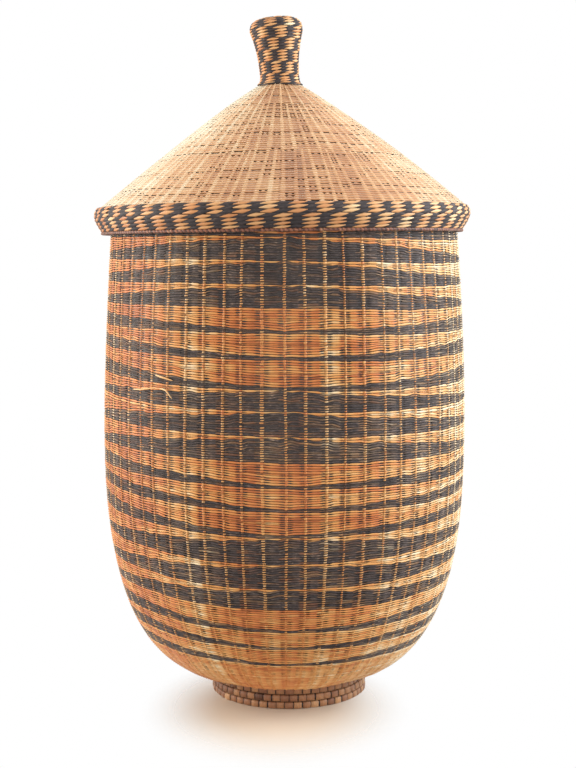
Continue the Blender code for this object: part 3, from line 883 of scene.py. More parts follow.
def add_piece(name, points, faces, traits, finish, nodes):
    """Make one piece from its points, its faces with their two maps and its points' marks.

    The solids that it replaces say what it rides on.
    """
    quads, strand, bake = faces
    body = "lid" if nodes[0].startswith(("lid", "knob")) else "basket"
    mesh = bpy.data.meshes.new(name)
    points = points.reshape(-1, 3)
    if body == "lid":
        points = leaned(points)
    used, quads = np.unique(quads, return_inverse=True)
    quads = quads.reshape(-1, 4)
    mesh.vertices.add(len(used))
    mesh.vertices.foreach_set("co", points[used].astype(np.float32).ravel())
    mesh.loops.add(quads.size)
    mesh.loops.foreach_set("vertex_index", quads.astype(np.int32).ravel())
    mesh.polygons.add(len(quads))
    mesh.polygons.foreach_set("loop_start", np.arange(0, quads.size, 4, dtype=np.int32))
    mesh.polygons.foreach_set("use_smooth", np.ones(len(quads), bool))
    for layer_name, spots in (("OFBake", bake), ("strand", strand)):
        layer = mesh.uv_layers.new(name=layer_name, do_init=False)
        layer.data.foreach_set("uv", spots.astype(np.float32).ravel())
    for trait, values in traits.items():
        layer = mesh.attributes.new(trait, "FLOAT", "POINT")
        layer.data.foreach_set("value", values.reshape(-1)[used].astype(np.float32))
    mesh.update(calc_edges=True)
    mesh.validate()
    mesh.materials.append(finish)
    piece = bpy.data.objects.new(name, mesh)
    bpy.context.scene.collection.objects.link(piece)
    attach(piece, body)
    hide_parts(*nodes)


def columns_round(radius):
    """Bearings of a wall row's sections."""
    spacing = math.tau / STAKES
    half = min(BINDING_WIDTH / 2 / radius, BINDING_SHARE / 2 * spacing)
    edge = half + min(SLIT_REACH / radius, SLIT_SHARE * spacing)
    steps = [-edge, -half, half, edge, *(place * spacing for place in PANEL_PLACES)]
    return (even_turn(STAKES)[:, None] + np.array(steps)).ravel()


def seam_share(bearing):
    """Nought at the front and back seams, one at the two sides."""
    return np.abs((bearing + np.pi / 2) % np.pi - np.pi / 2) / (np.pi / 2)


def stacked(total, most):
    """Thicknesses of rows laid one on another until a total is full; one line for each row."""
    return np.clip(total - ROW_PITCH * np.arange(most)[:, None], 0.0, ROW_PITCH)


def level_and_slope(total, most):
    """Thicknesses of the rows that fill a total: of its level half, and of the half along its slope."""
    level = stacked(np.maximum(np.minimum(total, ROW_PITCH), total / 2), most)
    return level, stacked(total - level.sum(0), most)


def band_rows(bottom, top, wide, bearing):
    """Lower edges, thicknesses and dye of the rows between two level lines.

    The dyed rows lie on the lower line, and their thickness falls or grows in proportion to the
    bearing from the seam. Light rows fill up to the next line. In both, the half next to a level
    line is level and the other half follows the slope, so short rows end in the middle.
    """
    room = top - bottom
    share = seam_share(bearing)
    most_dyed = room - LIGHT_ROWS_AT_SEAM * ROW_PITCH
    if wide:
        at_seam = most_dyed
        at_side = WIDE_ROWS_AT_SIDE * ROW_PITCH
    else:
        at_seam = THIN_ROWS_AT_SEAM * ROW_PITCH
        at_side = min(THIN_ROWS_AT_SIDE * ROW_PITCH, most_dyed)
    ragged = RAGGED_ROWS * ROW_PITCH * waves(RAGGED_WAVES, bearing, bottom)
    ragged = ragged * at_least(RAGGED_LEAST, 1 - share if wide else share)
    dyed = np.clip(at_seam + (at_side - at_seam) * share + ragged, 0.0, room)
    most = int(math.ceil(room / ROW_PITCH)) + 1
    level_dyed, slope_dyed = level_and_slope(dyed, most)
    level_light, slope_light = level_and_slope(room - dyed, most)
    steps = ROW_PITCH * np.arange(most)[:, None]
    lows = [
        bottom + steps + 0.0 * dyed,
        bottom + dyed - steps - slope_dyed,
        bottom + dyed + steps,
        top - steps - level_light,
    ]
    thick = [level_dyed, slope_dyed, slope_light, level_light]
    return np.concatenate(lows), np.concatenate(thick), np.repeat([1.0, 1.0, 0.0, 0.0], most)


def plain_rows(bottom, top, bearing):
    """Level light rows that fill the space between two level lines."""
    count = max(int(round((top - bottom) / ROW_PITCH)), 1)
    pitch = (top - bottom) / count
    low = bottom + pitch * np.arange(count)[:, None] + 0.0 * bearing
    return low, np.full_like(low, pitch), np.zeros(count)


def rows_between(kind, bottom, top, bearing):
    """Rows of one band of the wall for the given bearings."""
    if kind == "plain":
        return plain_rows(bottom, top, bearing)
    return band_rows(bottom, top, kind == "wide", bearing)


def narrowed(low, thick, narrowing, from_below=0.5):
    """Rows narrowed by a share of their thickness, taken partly from below and the rest from above."""
    return low + thick * narrowing * from_below, thick * (1 - narrowing)


def strand_grid(outline, low, thick, bearing, pull, pull_gap, openness, pitch, lift=0.0):
    """Points and gap marks of weft strands: a four-sided section carried round each row.

    Where a row lies open its groove is deep and painted with dark shade, and where rows are beaten close it
    is shallow.
    """
    fullness = np.clip(thick / (FULL_THICKNESS * pitch), 0.0, 1.0)
    groove = at_least(CLOSED_GROOVE, openness)[..., None]
    run = low[..., None] + thick[..., None] * SECTION_SHARE
    out = SECTION_OUT * groove * fullness[..., None] - pull[..., None] + lift
    turn = np.broadcast_to(bearing[..., None], run.shape)
    points = outline.place_by_hand(turn, run + outline.lie(turn, run), out)
    return points, np.maximum(SECTION_GAP * groove, pull_gap[..., None])


def strand_faces(keep, girth, pitch):
    """Faces of closed strand rings with their two maps: millimetres along and across, and the bake."""
    rows, columns = keep.shape
    quads, row, along, over = patch_faces(rows, columns, len(SECTION_SHARE), True, True, keep)
    last = len(SECTION_SHARE) - 1
    strand = np.stack([along / columns * girth[row], (row * NEXT_ROW + over / last) * pitch], axis=-1)
    bake_up = in_cell(row, rows, over / len(SECTION_SHARE), ROW_MARGIN)
    return quads, strand / MM, np.stack([along / columns, bake_up], axis=-1)


def wall_openness(held):
    """How open rows lie at their sections: most left and right of each stake, less on it and between."""
    seldom = 1 + OPEN_SELDOM * (1 - held)
    evenly = RANDOM.uniform(*OPEN_ROWS, (len(held), 1))
    shut = np.where(SEAM_PANEL, SEAM_OPENING, 1.0)
    draws = (RANDOM.random(held.shape) ** seldom * evenly for _ in range(2))
    left, right = (at_least(OPEN_LEAST, draw) * shut for draw in draws)
    in_panel = OPEN_PANEL * shut * RANDOM.random(held.shape) ** 2
    near = OPEN_BEYOND * right + in_panel
    far = OPEN_BEYOND * np.roll(left, -1, axis=1) + in_panel
    sections = [left, OPEN_ON_STAKE * left, OPEN_ON_STAKE * right, right, near, far]
    return np.stack(sections, axis=-1).reshape(len(held), -1)


def weft_tone(kind, dye, bearing, height):
    """Tone of a band's strands by panel, which holds painted light and shade, by row, by both and along each
    panel.
    """
    each = (len(dye), STAKES)
    panel = PANEL_TONE + RANDOM.normal(0.0, BAND_SPREAD, STAKES)
    tone = RANDOM.normal(*ROW_TONE, (len(dye), 1)) + in_sections(panel)
    tone = tone + in_sections(RANDOM.normal(0.0, STRAND_SPREAD, each))
    tone = tone + FOOT_GLOW * (1 - smooth_step(*FOOT_GLOW_END, height))
    tone = tone + np.tile(ALONG_TONE, STAKES) * in_sections(RANDOM.uniform(*ALONG_SPREAD, each))
    tone = tone + BARE_TONE * dye[:, None]
    if kind == "wide":
        tone = tone + PALE_LINE * (1 - seam_share(bearing)) * (1 - dye)[:, None]
    return tone


def weft_dye(dye, height):
    """Dye of a band's strands at their section points, with the bare straw that shows in it."""
    each = (len(dye), STAKES)
    uneven = 1 - UNEVEN_DYE * RANDOM.random(each) ** UNEVEN_POWER
    clean = smooth_step(*CLEAN_START, height[:, ::SECTIONS])
    shows = RANDOM.random(each) < BARE_SHARE * (1 - CLEAN_SHARE * clean)
    bare = np.where(shows, RANDOM.uniform(*BARE_DEPTH, each), 0.0)
    bare = in_sections(bare) * np.tile(BARE_ALONG, STAKES)
    return (dye[:, None] * in_sections(uneven))[..., None] * (1 - bare[..., None] * BARE_EDGE)


def make_wefts(name, outline, bands, finish, nodes):
    """Weft strands of some bands of the wall as one piece."""
    parts = []
    for kind, bottom, top in bands:
        radius = float(outline.radius((bottom + top) / 2))
        bearing = columns_round(radius)
        low, thick, dye = rows_between(kind, bottom, top, bearing)
        there = thick > DRAWN_SHARE * ROW_PITCH
        height = outline.height(low)
        held = smooth_step(*BINDING_START, height)
        openness = wall_openness(held[:, ::SECTIONS])
        low, thick = narrowed(low, thick, openness * np.tile(NARROWING, STAKES))
        pull = np.tile(PULL, STAKES) * at_least(FREE_PULL, held)
        pull_gap = np.tile(PULL_GAP, STAKES) * openness * held
        points, gap = strand_grid(outline, low, thick, bearing, pull, pull_gap, openness, ROW_PITCH)
        tone = np.broadcast_to(weft_tone(kind, dye, bearing, height)[..., None], gap.shape)
        keep = there | np.roll(there, -1, axis=1)
        girth = np.full(len(low), math.tau * radius)
        parts.append((points, gap, weft_dye(dye, height), tone, keep, girth))
    points, gap, dye, tone, keep, girth = (np.concatenate(part) for part in zip(*parts))
    add_piece(name, points, strand_faces(keep, girth, ROW_PITCH), marks(gap, dye, tone), finish, nodes)


def edge_gap(form, gaps, pads):
    """Gap marks of raised pieces: painted shade that darkens them to their ends and to their sides."""
    (end, end_power), (side, side_power) = gaps
    edge = np.maximum(end * np.abs(form.along[:, None]) ** end_power, side * np.abs(form.over) ** side_power)
    return np.broadcast_to(edge, (pads, *edge.shape))


def pad_grid(form, outline, bearing, run, half_wide, half_high):
    """Arched pads over a surface, one for each bearing and run, and their gap marks.

    Along its length a pad rises as one less the fourth power of the share, from a sunk end to its
    crown, and across it falls away by a square.
    """
    along = form.along[None, :, None]
    over = form.over[None, None, :]
    out = -form.sink + (form.crown + form.sink) * (1 - along**4) * (1 - PAD_FALL * over**2)
    turn = per_patch(bearing) + along * per_patch(half_wide) + 0.0 * over
    place = per_patch(run) + per_patch(half_high) * over * (1 - form.blunt * along**2) + form.lean * along
    place = place + outline.lie(turn, place)
    return outline.place_by_hand(turn, place, out), edge_gap(form, PAD_GAPS, len(turn))


def pad_faces(form, pads, wide):
    """Faces of many pads with their two maps; on the bake map they lie wide to a row."""
    around, across = len(form.along), len(form.over)
    quads, pad, step, side = patch_faces(pads, around, across, False, False)
    strand = [step * form.grain[0] + pad * NEXT_ALONG, side * form.grain[1] + pad * NEXT_ACROSS]
    bake = [
        in_cell(pad % wide, wide, step / (around - 1), form.margin),
        in_cell(pad // wide, math.ceil(pads / wide), side / (across - 1), form.margin),
    ]
    return quads, np.stack(strand, axis=-1), np.stack(bake, axis=-1)


def binding_places(outline, bands):
    """Bearing, run, row thickness and dye of each crossing, and whether it is in a thin band."""
    bearing = even_turn(STAKES)
    chosen = []
    for kind, bottom, top in bands:
        low, thick, dye = rows_between(kind, bottom, top, bearing)
        there = thick > BOUND_SHARE * ROW_PITCH
        if outline.radius((bottom + top) / 2) < BASE_RADIUS:
            there = there & (np.arange(STAKES) % BASE_STAKE_STEP == 0)
        values = (bearing, low + thick / 2, thick, dye[:, None], float(kind == "thin"))
        chosen.append([np.broadcast_to(value, low.shape)[there] for value in values])
    return np.concatenate(chosen, axis=1)


def make_bindings(name, outline, bands, finish, nodes):
    """Light bindings that hold the wefts to the stakes."""
    turn, run, thick, dyed_below, in_thin = binding_places(outline, bands)
    count = len(turn)
    spacing = math.tau / STAKES
    radius = outline.radius(run)
    stake = np.round(turn / spacing).astype(int) % STAKES
    size = BINDING_SIZE[stake]
    dark = dyed_below > 0.5
    held = smooth_step(*BINDING_START, outline.height(run))
    half_wide = np.minimum(BINDING_WIDTH / 2 / radius, BINDING_SHARE / 2 * spacing) * size
    half_wide = half_wide * RANDOM.uniform(*BINDING_WIDTHS, count) * np.where(dark, DARK_PAD_WIDTH, 1.0)
    half_high = thick * np.where(dark, DARK_PAD_HEIGHT, LIGHT_PAD_HEIGHT[0] + LIGHT_PAD_HEIGHT[1] * held)
    half_high = half_high * RANDOM.uniform(*BINDING_HEIGHTS, count)
    turn = turn + RANDOM.normal(0.0, BINDING_STRAY, count) / radius
    points, gap = pad_grid(BINDING_FORM, outline, turn, run, half_wide, half_high)
    gap = gap * per_patch(np.where(dark, 1.0, LIGHT_PAD_GAP[0] + LIGHT_PAD_GAP[1] * held))
    dark_tone = DARK_PAD_TONE + THIN_PAD_SHADE * (size - 1)
    # Pads over light wefts take their panel's tone, with its painted light and shade
    light_tone = LIGHT_PAD_TONE + PANEL_TONE[stake]
    tone = RANDOM.normal(0.0, PAD_SPREAD, count) + np.where(dark, dark_tone, light_tone)
    tone = tone + np.where(dark, 0.0, LOW_PAD_GLOW * (1 - held))
    # Painted sheen: pads near the left and right edges are lighter
    aside = np.abs(np.sin(turn))
    tone = tone + np.where(np.sin(turn) < 0, *EDGE_GLOWS) * smooth_step(*EDGE_GLOW_START, aside)
    soaked_share = SOAKED_SHARE * (1 - smooth_step(*SOAKED_END, aside))
    soaked = dark & (in_thin > 0.5) & (RANDOM.random(count) < soaked_share)
    faces = pad_faces(BINDING_FORM, count, int(math.ceil(math.sqrt(count * 2))))
    traits = marks(gap, per_patch(SOAKED_DYE * soaked), per_patch(tone))
    add_piece(name, points, faces, traits, finish, nodes)


def make_wall(finish):
    """Wefts of base and wall, and the light binding over each crossing of a weft and a stake."""
    outline = wall_outline()
    foot_top = outline.run_at_height(FOOT_TOP)
    turn_up = outline.run_at_height(TURN_UP_HEIGHT)
    lines = [CENTRE_HOLE, foot_top, *outline.run_at_height(BAND_HEIGHTS), outline.length]
    kinds = ["plain", "plain"]
    kinds += [("thin", "wide")[band // BANDS_PER_GROUP % 2] for band in range(len(BAND_HEIGHTS))]
    bounds = [foot_top, *np.linspace(turn_up, outline.length, len(WALL_ZONES) - 1)]
    parts = {zone: [] for zone in WALL_ZONES}
    for kind, low, high in zip(kinds, lines[:-1], lines[1:]):
        zone = WALL_ZONES[np.searchsorted(bounds, (low + high) / 2)]
        parts[zone].append((kind, low, high))
    for zone, bands in parts.items():
        nodes = ["base_weave" if zone in BASE_ZONES else "wall_weave"]
        make_wefts(f"{zone}_wefts", outline, bands, finish, nodes)
        make_bindings(f"{zone}_bindings", outline, bands, finish, nodes)


def make_loose_ends(finish):
    """Broken weft ends that stand off the left of the belly: thin tubes, tapered to both ends.

    Each follows the line through its points, smoothed by three rounds of 1-2-1 weights.
    """
    wall = wall_outline()
    along = np.linspace(0.0, 1.0, LOOSE_END_RINGS)
    angle = even_turn(LOOSE_END_SIDES)
    knots = np.linspace(0.0, 1.0, LOOSE_ENDS.shape[1])
    route = np.stack([[np.interp(along, knots, end[:, axis]) for axis in range(3)] for end in LOOSE_ENDS])
    for _ in range(LOOSE_END_ROUNDS):
        route[:, :, 1:-1] = (route[:, :, :-2] + 2 * route[:, :, 1:-1] + route[:, :, 2:]) / 4
    bearing, height, off = (route[:, axis, :, None] for axis in range(3))
    taper = LOOSE_END_RADIUS * np.clip(np.sin(np.pi * along), 0.0, 1.0) ** LOOSE_END_TAPER
    wide, thick = (share * taper[None, :, None] for share in LOOSE_END_SECTION)
    turn = bearing + 0.0 * angle
    place = wall.run_at_height(height) + wide * np.sin(angle)
    out = off + thick * np.cos(angle)
    points = wall.place(turn, place, out + dent(turn, place))
    quads, end, step, side = patch_faces(*points.shape[:3], False, True)
    strand = np.stack([step * LOOSE_END_GRAIN[0] + end * NEXT_ALONG, side * LOOSE_END_GRAIN[1]], axis=-1)
    bake_up = in_cell(end, len(points), side / LOOSE_END_SIDES, LOOSE_END_MARGIN)
    faces = (quads, strand, np.stack([step / (len(along) - 1), bake_up], axis=-1))
    add_piece("loose_ends", points, faces, marks(0.0 * out, 0.0, LOOSE_END_TONE), finish, ["wall_weave"])


def rib_bearings(zone, share):
    """Bearings of the lid's ribs in a zone, for shares of the way from its top to its bottom.

    In the first two zones ribs keep even steps. In the last, one new rib starts halfway in every
    second gap, and all move to even steps by the eave.
    """
    even = even_turn(LID_RIBS[zone])
    if zone < len(LID_RIBS) - 1:
        return even + 0.0 * share[:, None]
    old = even_turn(LID_RIBS[1])
    start = np.stack([old[0::2], old[1::2], old[1::2] + math.pi / LID_RIBS[1]], axis=1).ravel()
    return start + (even - start) * share[:, None]


def lid_rows(outline):
    """Lower edges, pitch and radii of the cone's rows, and each row's zone and share of its zone."""
    rows = int(round(outline.length / LID_ROW_PITCH))
    pitch = outline.length / rows
    low = pitch * np.arange(rows)
    radius = outline.radius(low + LID_ROW_PITCH / 2)
    limits = np.array([NECK_RADIUS, *FORK_RADII, outline.radii[0]])
    zone = np.searchsorted(FORK_RADII, radius)
    share = (radius - limits[zone]) / (limits[zone + 1] - limits[zone])
    return low, pitch, radius, zone, np.clip(share, 0.0, 1.0)


def lid_shade(bearing):
    """Painted shade and light: the cone is a little darker front and back and paler at its sides, most at
    the left.
    """
    return -LID_SIDE_SHADE * np.cos(2 * bearing) - LID_LEFT_SHADE * np.sin(bearing)


def lid_sections(ribs, rib_share):
    """Bearings of the sections of the lid's rows, as on the wall, and half the ribs' widths."""
    after = np.roll(ribs, -1, axis=1)
    after[:, -1] += math.tau
    width = after - ribs
    before = np.roll(width, 1, axis=1)
    half = 0.5 * rib_share * np.minimum(width, before)
    sections = [ribs - half - LID_SLIT * before, ribs - half, ribs + half, ribs + half + LID_SLIT * width]
    sections += [ribs + place * width for place in LID_PANEL_PLACES]
    return np.stack(sections, axis=-1).reshape(len(ribs), -1), half


def lid_open_rows(radius):
    """How open each row of the cone lies, in how many arcs round the lid, and where they start.

    Most rows are beaten close. About one in four lies open, and so does the row at each fork.
    """
    rows = len(radius)
    opened = RANDOM.random(rows) < OPEN_ROW_SHARE
    opened[1:] = opened[1:] & ~opened[:-1]
    openness = np.where(opened, RANDOM.uniform(*OPENED, rows), RANDOM.uniform(*BEATEN, rows))
    for fork in FORK_RADII:
        openness[np.argmin(np.abs(radius - fork))] = 1.0
    arcs = RANDOM.integers(*ARC_COUNTS, rows)
    starts = RANDOM.uniform(0.0, math.tau, rows)
    return openness[:, None], arcs[:, None], starts[:, None]


def lid_openness(ribs, openness, arcs, starts):
    """How open the cone's rows lie at their sections.

    An open row shows as a short dark dash on both sides of each stake along its arcs, and a closed
    one has a few single openings.
    """
    arc = np.clip(ARC_SHAPE[0] + ARC_SHAPE[1] * np.sin(arcs * ribs + starts), 0.0, 1.0)
    panel = openness * arc * RANDOM.uniform(*ARC_SPREAD, ribs.shape)
    holes = HOLE_SIZE * (RANDOM.random(ribs.shape) < HOLE_SHARE)
    beside = np.maximum(BESIDE_STAKE * panel, holes)
    closed = 0.0 * panel
    sections = [np.roll(beside, 1, axis=1), closed, closed, beside, panel, panel]
    return np.stack(sections, axis=-1).reshape(len(ribs), -1)


def lid_tone(bearing, radius, count):
    """Tone of the cone's strands by panel, over the stakes, by row, by side with its painted light and
    shade, and towards the knob.
    """
    panel = in_sections(RANDOM.normal(0.0, LID_PANEL_SPREAD, count)) + np.tile(LID_STAKE_TONE, count)
    tone = RANDOM.uniform(*LID_ROW_TONE, (len(radius), 1)) + panel + lid_shade(bearing)
    return tone + LID_TOP_GLOW * (LID_GLOW_PLACE - radius / EAVE_RADIUS)[:, None]


def make_lid_cone(finish):
    """Wefts of the cone, which rise over the lid's stakes, and pale ribs next to the knob."""
    outline = lid_outline()
    all_low, pitch, all_radius, all_zone, all_share = lid_rows(outline)
    open_rows = lid_open_rows(all_radius)
    for zone, count in enumerate(LID_RIBS):
        mine = all_zone == zone
        low, radius = all_low[mine], all_radius[mine]
        ribs = rib_bearings(zone, all_share[mine])
        bearing, half = lid_sections(ribs, RIB_SHARES[zone])
        openness = lid_openness(ribs, *(values[mine] for values in open_rows))
        narrowing = openness * np.tile(LID_NARROWING, count)
        edge, thick = narrowed(low[:, None], np.full(bearing.shape, pitch), narrowing, 0.0)
        pull = np.tile(LID_PULL, count)[None, :]
        points, gap = strand_grid(
            outline, edge, thick, bearing, pull, 0.0 * openness, openness, pitch, LID_LIFT
        )
        gap = gap * np.clip(LID_GROOVE[0] + LID_GROOVE[1] * openness, 0.0, 1.0)[..., None]
        traits = marks(gap, 0.0, lid_tone(bearing, radius, count)[..., None])
        faces = strand_faces(np.ones(bearing.shape, bool), math.tau * radius, pitch)
        add_piece(f"lid_{LID_ZONES[zone]}_wefts", points, faces, traits, finish, ["lid_weave"])
        if zone == 0:
            make_ribs(outline, low + pitch / 2, pitch, ribs, half, finish)


def make_ribs(outline, run, pitch, ribs, half, finish):
    """Raised pale crossings over the stakes next to the knob, which nearly join into ribs."""
    turn = ribs.ravel()
    half_wide = half.ravel() * RANDOM.uniform(*RIB_WIDTHS, turn.size)
    half_high = np.full(turn.size, pitch * RIB_HEIGHT)
    run = np.repeat(run, ribs.shape[1])
    points, gap = pad_grid(RIB_FORM, outline, turn, run, half_wide, half_high)
    tone = per_patch(RANDOM.normal(*RIB_TONE, turn.size) + lid_shade(turn))
    faces = pad_faces(RIB_FORM, turn.size, ribs.shape[1])
    add_piece("lid_neck_ribs", points, faces, marks(gap * RIB_GAP, 0.0, tone), finish, ["lid_weave"])


def make_lid_stakes(finish):
    """Flat stakes under the cone, in three sets: from the knob, from the fork and from the second fork.

    Each is a six-sided section carried along the outline and closed to a point at both ends.
    """
    outline = lid_outline()
    count = LID_RIBS[0]
    step = math.tau / count
    ends = [outline.length, *np.interp(-np.array(FORK_RADII), -outline.radii, outline.run)]
    along = np.concatenate([[0.0], np.linspace(0.0, 1.0, STAKE_RINGS), [1.0]])
    size = np.concatenate([[0.0], np.ones(STAKE_RINGS), [0.0]])[None, :, None]
    angle = even_turn(STAKE_SIDES)
    for name, end, at_fork, at_eave in zip(LID_STAKE_SETS, ends, PLACES_AT_FORK, PLACES_AT_EAVE):
        run = STAKE_INSET + (end - 2 * STAKE_INSET) * along
        radius = outline.radius(run)
        moved = np.clip((radius - FORK_RADII[1]) / (outline.radii[0] - FORK_RADII[1]), 0.0, 1.0)
        bearing = step * (np.arange(count)[:, None] + at_fork + (at_eave - at_fork) * moved)
        half = np.minimum(STAKE_HALF_WIDTH, STAKE_CROWDING * step * radius)
        turn = bearing[..., None] + size * (half / radius)[None, :, None] * np.cos(angle)
        out = -STAKE_DEPTH - size * STAKE_HALF_THICKNESS * np.sin(angle)
        points = outline.place(turn, np.broadcast_to(run[None, :, None], turn.shape), out)
        quads, stake, rise, side = patch_faces(*turn.shape, False, True)
        strand = np.stack([rise * STAKE_GRAIN[0] + stake * NEXT_ALONG, side * STAKE_GRAIN[1]], axis=-1)
        bake_across = in_cell(stake, count, side / STAKE_SIDES, STAKE_MARGIN)
        faces = (quads, strand, np.stack([bake_across, rise / (len(along) - 1)], axis=-1))
        tone = per_patch(RANDOM.normal(*STAKE_TONE, count))
        add_piece(name, points, faces, marks(0.0 * turn, 0.0, tone), finish, ["lid_stakes"])


def stitch_grid(outline, turn, run, half_wide, half_high, power, lean, crown):
    """Spindle-shaped stitches, whose half height falls to the points by a power of the share along.

    Each leans a little, and its ends dive under its neighbours.
    """
    along = STITCH_FORM.along[None, :, None]
    over = STITCH_FORM.over[None, None, :]
    sink = STITCH_FORM.sink
    fall = np.clip(1 - along**2, 0.0, 1.0)
    spindle = at_least(STITCH_POINT, 1 - np.abs(along) ** per_patch(power))
    out = -sink + (per_patch(crown) + sink) * fall**STITCH_RISE_POWER * (1 - STITCH_FALL * over**2)
    bearing = per_patch(turn) + per_patch(half_wide) * along + 0.0 * over
    place = per_patch(run) + per_patch(half_high) * over * spindle + lean * along
    return outline.place(bearing, place, out), edge_gap(STITCH_FORM, STITCH_GAPS, len(turn))


def make_stitches(name, outline, count, pitch, phase, crown, finish, nodes):
    """Two-colour twining: one spindle-shaped stitch over each stake in each row.

    Dark and light change places round each row and from tier to tier. The stitches of one tier
    over one stake share a small shift, and phase moves each row round.
    """
    rows = len(phase)
    tier = np.arange(rows) // TIER_ROWS
    shift = RANDOM.normal(0.0, TIER_STRAY, (tier.max() + 1, count))[tier]
    shift = shift + phase[:, None] + RANDOM.normal(0.0, STITCH_STRAY, (rows, count))
    turn = (math.tau / count * (np.arange(count) + shift)).ravel()
    dyed = ((np.arange(count) + tier[:, None]) % 2 == 1).ravel()
    half_wide = math.tau / count * STITCH_WIDTH * RANDOM.uniform(*STITCH_WIDTHS, turn.size)
    half_high = pitch * np.where(dyed, DYED_STITCH_HEIGHT, LIGHT_STITCH_HEIGHT)
    half_high = half_high * RANDOM.uniform(*STITCH_HEIGHTS, turn.size)
    run = np.repeat(pitch * (np.arange(rows) + 0.5), count)
    run = run + RANDOM.normal(0.0, STITCH_UP_STRAY * pitch, turn.size)
    power = np.where(dyed, *STITCH_POWERS)
    rise = crown + np.where(dyed, *STITCH_RISES)
    points, gap = stitch_grid(outline, turn, run, half_wide, half_high, power, STITCH_LEAN * pitch, rise)
    # Painted light and shade: lighter towards the right, darker towards the left
    tone = RANDOM.normal(*STITCH_TONE, turn.size) + STITCH_SIDE_TONE * np.sin(turn + STITCH_SIDE_PHASE)
    traits = marks(gap, per_patch(dyed), per_patch(tone))
    add_piece(name, points, pad_faces(STITCH_FORM, turn.size, count), traits, finish, nodes)


def make_lid_band(outline, finish):
    """Eave band: seven rows in two tiers whose dark and light blocks change places."""
    phase = BAND_PHASE + BAND_TURN * (np.arange(BAND_ROWS) - BAND_ROWS / 2) / BAND_ROWS
    pitch = outline.length / BAND_ROWS
    nodes = ["lid_band"]
    make_stitches("lid_band_stitches", outline, BAND_STITCHES, pitch, phase, BAND_CROWN, finish, nodes)


def make_knob(outline, finish):
    """Knob: blocks of four rows, dark and light by turns round and up."""
    rows = int(round(outline.length / KNOB_ROW_PITCH)) - 1
    phase = np.linspace(*KNOB_DRIFT, rows)
    pitch = outline.length / (rows + 1)
    nodes = ["knob_weave", "knob_cap"]
    make_stitches("knob_stitches", outline, KNOB_STITCHES, pitch, phase, KNOB_CROWN, finish, nodes)


def backing(name, outline, start, end, finish, nodes, dented=True):
    """Inner side of a twined skin: a turned face under the strands, which may follow their dents."""
    rows, columns, depth = BACKINGS[name]
    run = np.linspace(start, end, rows)[None, :]
    turn = even_turn(columns)[:, None]
    run, turn = np.broadcast_arrays(run, turn)
    out = (dent(turn, run) if dented else 0.0) - depth
    outer = outline.place(turn, run, out)
    inner = outline.place(turn, run, out - BACKING_THICKNESS)[:, ::-1]
    points = np.concatenate([outer, inner], axis=1)[None]
    around, across = points.shape[1:3]
    quads, _, step, side = patch_faces(1, around, across, True, True)
    length = 2 * outline.length / MM
    strand = np.stack([step / around * BACKING_GIRTH, side / across * length], axis=-1)
    bake = np.stack([step / around, in_cell(0, 1, side / across, BACKING_MARGIN)], axis=-1)
    # Painted shade: the face under the strands is dark all over, the inner face less
    outside = (np.arange(across) < rows).astype(float)
    gap = np.broadcast_to(at_least(BACKING_GAP, outside), points.shape[:3])
    add_piece(name, points, (quads, strand, bake), marks(gap, 0.0, BACKING_TONE), finish, nodes)


def wrapped_ring(name, node, wraps, finish, slack=0.0):
    """A ring wrapped with a strand: its small radius swells and sinks once for each slanted wrap."""
    low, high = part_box(node)
    radius = (high.z - low.z) / 2 - slack
    centre = high.x - radius - 2 * slack
    turn = even_turn(wraps * WRAP_STEPS)[:, None]
    angle = even_turn(WRAP_SIDES)[None, :] - math.pi
    uneven = waves(WRAP_WAVES, turn, 0.0)
    rise = np.abs(np.cos(wraps * turn / 2 + uneven + WRAP_SLANT * np.sin(angle)))
    reach = radius + WRAP_BULGE * (rise - WRAP_MIDDLE)
    points = spun(centre + reach * np.cos(angle), turn, high.z - radius + reach * np.sin(angle))[None]
    quads, _, step, side = patch_faces(*points.shape[:3], True, True)
    strand = np.stack([side * WRAP_GRAIN[0], step * WRAP_GRAIN[1]], axis=-1)
    bake = np.stack([step / len(turn), side / WRAP_SIDES], axis=-1)
    # Painted shade where the ring sinks between wraps
    gap = np.clip(WRAP_GAP[0] + WRAP_GAP[1] * rise, 0.0, 1.0)[None]
    tone = np.repeat(RANDOM.normal(*WRAP_TONE, wraps), WRAP_STEPS)[:, None]
    add_piece(name, points, (quads, strand, bake), marks(gap, 0.0, tone), finish, [node])


def squared_off(part):
    """Sine or cosine pushed out, so that a circle becomes a rounded square."""
    return np.sign(part) * np.abs(part) ** FOOT_SQUARENESS


def foot_section(bearing, radius, half_wide, middle, half_high):
    """Points of a rounded square section carried round Z, to the side as the foot stands."""
    angle = even_turn(FOOT_SIDES)
    across = radius + half_wide * squared_off(np.cos(angle))
    up = middle + half_high * squared_off(np.sin(angle))
    return spun(across, bearing, up) + np.array([FOOT_SHIFT, 0.0, 0.0])


